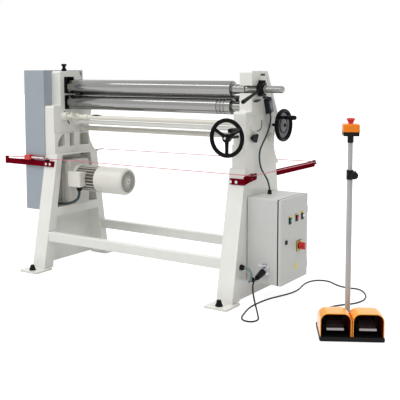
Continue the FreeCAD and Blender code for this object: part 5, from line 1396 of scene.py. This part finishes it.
# ------------------------------------------------------------------ trip wire
@dataclass
class TripWire:
    """Safety wire with its pull switch, brackets, bolts and pulleys."""

    pulleys: Pairs = ((0.828, -0.206), (0.828, 0.6))
    pulley_z: float = 0.7213
    front_bolts: tuple[Point, ...] = (
        (-0.745, -0.2105, 0.693), (-0.71, -0.2105, 0.693), (0.692, -0.2085, 0.686), (0.729, -0.2085, 0.686))
    side_bolt: Point = (0.7805, -0.118, 0.708)
    end_plate: tuple[Point, Point] = ((-0.8864, -0.2258, 0.7144), (-0.8838, -0.1962, 0.7456))
    spring_start: Point = (-0.875, -0.2166, 0.7315)
    guide: Point = (-0.745, -0.2055, 0.7138)
    hook: tuple[Point, Point] = ((-0.701, 0.2135, 0.7549), (-0.665, 0.252, 0.7593))
    eye_centre: Point = (-0.659, 0.258, 0.76)
    spring_turns: int = 22
    spring_pitch: float = 0.005

    def build(self) -> None:
        """Builds the whole sub-assembly."""
        refit("wire_brackets", "brackets", PAINT.crimson, 0.0009, 2, 42)
        fit(self.bolts(), "bracket_bolts", PAINT.zinc)
        refit("pull_switch", "pull_switch_case", PAINT.red, 0.0012, 3, 42)
        fit(block(*self.end_plate, 0.0008, 2), "pull_switch_end", PAINT.red)
        fit(self.spring(), "pull_switch_spring", PAINT.zinc)
        fit(self.guide_disc(), "wire_guide_disc", PAINT.black)
        fit(self.eye(), "wire_eye", PAINT.black)
        for node, (x, y) in zip(("front_pulley", "rear_pulley"), self.pulleys):
            fit(self.pulley(x, y), node + "_wheel", PAINT.black, node)
        nuts = [hex_head((x, y, self.pulley_z + 0.0161), UP, 0.011, 0.0034) for x, y in self.pulleys]
        fit(join(nuts), "pulley_nuts", PAINT.zinc)
        wire = soften("trip_wire", 0.0)
        modify(wire, "DISPLACE", strength=0.0007, mid_level=0.0)
        fit(wire, "safety_wire", PAINT.wire, "trip_wire")

    def bolts(self) -> Piece:
        """Hexagon bolts of the front brackets, and one on a washer at the side."""
        made = [hex_head(spot, FRONT, 0.0165, 0.007, False) for spot in self.front_bolts]
        return join([*made, hex_head(self.side_bolt, RIGHT, 0.012, 0.005)])

    def spring(self) -> Piece:
        """Return spring in the switch's frame."""
        coil = [(0, 0)]
        for k in range(self.spring_turns):
            coil += [(self.spring_pitch * k, 0.0046), (self.spring_pitch * (k + 0.5), 0.006)]
        end = self.spring_turns * self.spring_pitch
        return lathe([*coil, (end, 0.0046), (end, 0)], self.spring_start, RIGHT, 20)

    def guide_disc(self) -> Piece:
        """Flanged guide on the left bar."""
        return lathe([(0, 0.015), (0.004, 0.016), (0.008, 0.0145), (0.011, 0.01), (0.0118, 0)],
                     self.guide, UP, 32)

    def eye(self) -> Piece:
        """Eye and hook rod at the wire's rear end."""
        return join([rod(*self.hook, 0.0033),
                     lathe([(-0.0024, 0.0086), (-0.0012, 0.0094), (0.0012, 0.0094), (0.0024, 0.0086)],
                           self.eye_centre, UP, 32, bore=0.0046)])

    def pulley(self, x: float, y: float) -> Piece:
        """Grooved wheel."""
        return lathe([(0, 0.0136), (0.0005, 0.014), (0.0026, 0.014), (0.0032, 0.0134), (0.006, 0.0089),
                      (0.0072, 0.0086), (0.0086, 0.0086), (0.0098, 0.0089), (0.0126, 0.0134),
                      (0.0132, 0.014), (0.0153, 0.014), (0.0158, 0.0136)], (x, y, self.pulley_z), UP,
                     48, bore=0.00405)


# ------------------------------------------------------------------ studio
@dataclass
class Studio:
    """Pale floor, soft lights, world and camera.

    Levels are strengths of the sky: near the ground, higher up and added above that in front, and
    below and above the rear edge.
    """

    eye: Point = (2.9548, -3.9598, 1.3095)
    look: Point = (-0.54616, 0.83241, -0.09394)
    lens: float = 70.07
    shift: Pair = (-0.0044, -0.1384)
    floor_colour: Colour = (0.38, 0.38, 0.38)
    floor_lift: float = 0.86
    floor_bounce: float = 0.3
    front_levels: tuple[float, ...] = (0.62, 0.36, 1.2)
    rear_levels: Pair = (0.02, 2.7)

    def build(self) -> None:
        """Sets up everything that isn't the machine."""
        self.camera()
        self.floor()
        self.world()
        self.lights()
        bpy.context.scene.view_settings.view_transform = "Standard"

    def camera(self) -> None:
        """Camera at standing height to the right of the machine."""
        data = bpy.data.cameras.new("camera")
        data.lens = self.lens
        data.sensor_width = 36.0
        data.shift_x, data.shift_y = self.shift
        data.clip_end = 100.0
        bpy.context.scene.camera = self.aim("camera", data, self.eye, Vector(self.look))

    def aim(self, name: str, data: bpy.types.ID, at: Point, way: Vector) -> Piece:
        """Camera or lamp at a point, looking along a direction."""
        obj = link(name, data)
        obj.location = at
        obj.rotation_mode = "QUATERNION"
        obj.rotation_quaternion = way.to_track_quat("-Z", "Y")
        return obj

    def seen(self, tree: Tree) -> Sock:
        """One for camera, glossy and transmission rays, which all see the white background."""
        camera, glossy, through = (tree.add("LightPath", out=name)
                                   for name in ("Is Camera Ray", "Is Glossy Ray", "Is Transmission Ray"))
        return (camera + glossy + through).spread(0, 1)

    def floor(self) -> None:
        """Wide floor that keeps the machine's soft shadow."""
        deselect()
        bpy.ops.mesh.primitive_plane_add(size=60)
        obj = bpy.context.object
        obj.name = "floor"
        material = bpy.data.materials.new("floor")
        material.use_nodes = True
        tree = Tree(material.node_tree)
        seen = self.seen(tree)
        strength = seen * self.floor_lift + (1.0 - seen) * self.floor_bounce
        diffuse = tree.add("BsdfDiffuse", {}, {"Color": self.floor_colour, "Roughness": 0.5})
        glow = tree.add("Emission", {}, {"Color": WHITE, "Strength": strength})
        tree.add("OutputMaterial", {}, {0: tree.add("AddShader", {}, {0: diffuse, 1: glow})})
        obj.data.materials.append(material)

    def world(self) -> None:
        """White for the rays that are seen, and a dim front and bright rear sky for the light."""
        world = bpy.data.worlds.new("world")
        bpy.context.scene.world = world
        world.use_nodes = True
        tree = Tree(world.node_tree)
        way = tree.add("TexCoord", out="Generated")
        right, rear, height = (tree.add("SeparateXYZ", {}, {0: way}, axis) for axis in "XYZ")
        low, middle, high = self.front_levels
        behind = rear.spread(0.1, 0.22)
        front_sky = height.spread(0.33, 0.37, low, middle) + height.spread(0.47, 0.53, 0.0, high)
        rear_sky = height.spread(0.66, 0.76, *self.rear_levels)
        level = front_sky * right.spread(0.45, 0.9, 1.0, 0.45) * (1.0 - behind) + rear_sky * behind
        seen = self.seen(tree)
        strength = level * (1.0 - seen) + seen
        shader = tree.add("Background", {}, {"Color": WHITE, "Strength": strength})
        tree.add("OutputWorld", {}, {0: shader})

    def lights(self) -> None:
        """A long strip over the front and a soft box at the right."""
        self.soft_box("key", (-1.6, -3.2, 4.6), (-0.4, 0.0, 0.8), (7.0, 0.5), 60.0)
        self.soft_box("side", (5.0, -0.6, 2.6), (0.8, 0.0, 0.6), (2.6, 2.6), 7.0)

    def soft_box(self, name: str, at: Point, target: Point, size: Pair, power: float) -> None:
        """Rectangular area light aimed at a point."""
        data = bpy.data.lights.new(name, "AREA")
        data.shape = "RECTANGLE"
        data.size, data.size_y = size
        data.energy = power
        self.aim(name, data, at, Vector(target) - Vector(at))


def main() -> None:
    """Builds every sub-assembly, then the studio."""
    logging.basicConfig(level=logging.INFO, format="%(name)s %(message)s")
    for part in (Stand(), Heads(), GearGuard(), Rolls(), Drive(), HandControls(), Cabinet(), Wiring(),
                 PedalUnit(), TripWire(), Studio()):
        part.build()
        log.info("%s done", type(part).__name__)
    deselect()


if __name__ == "__main__":
    main()
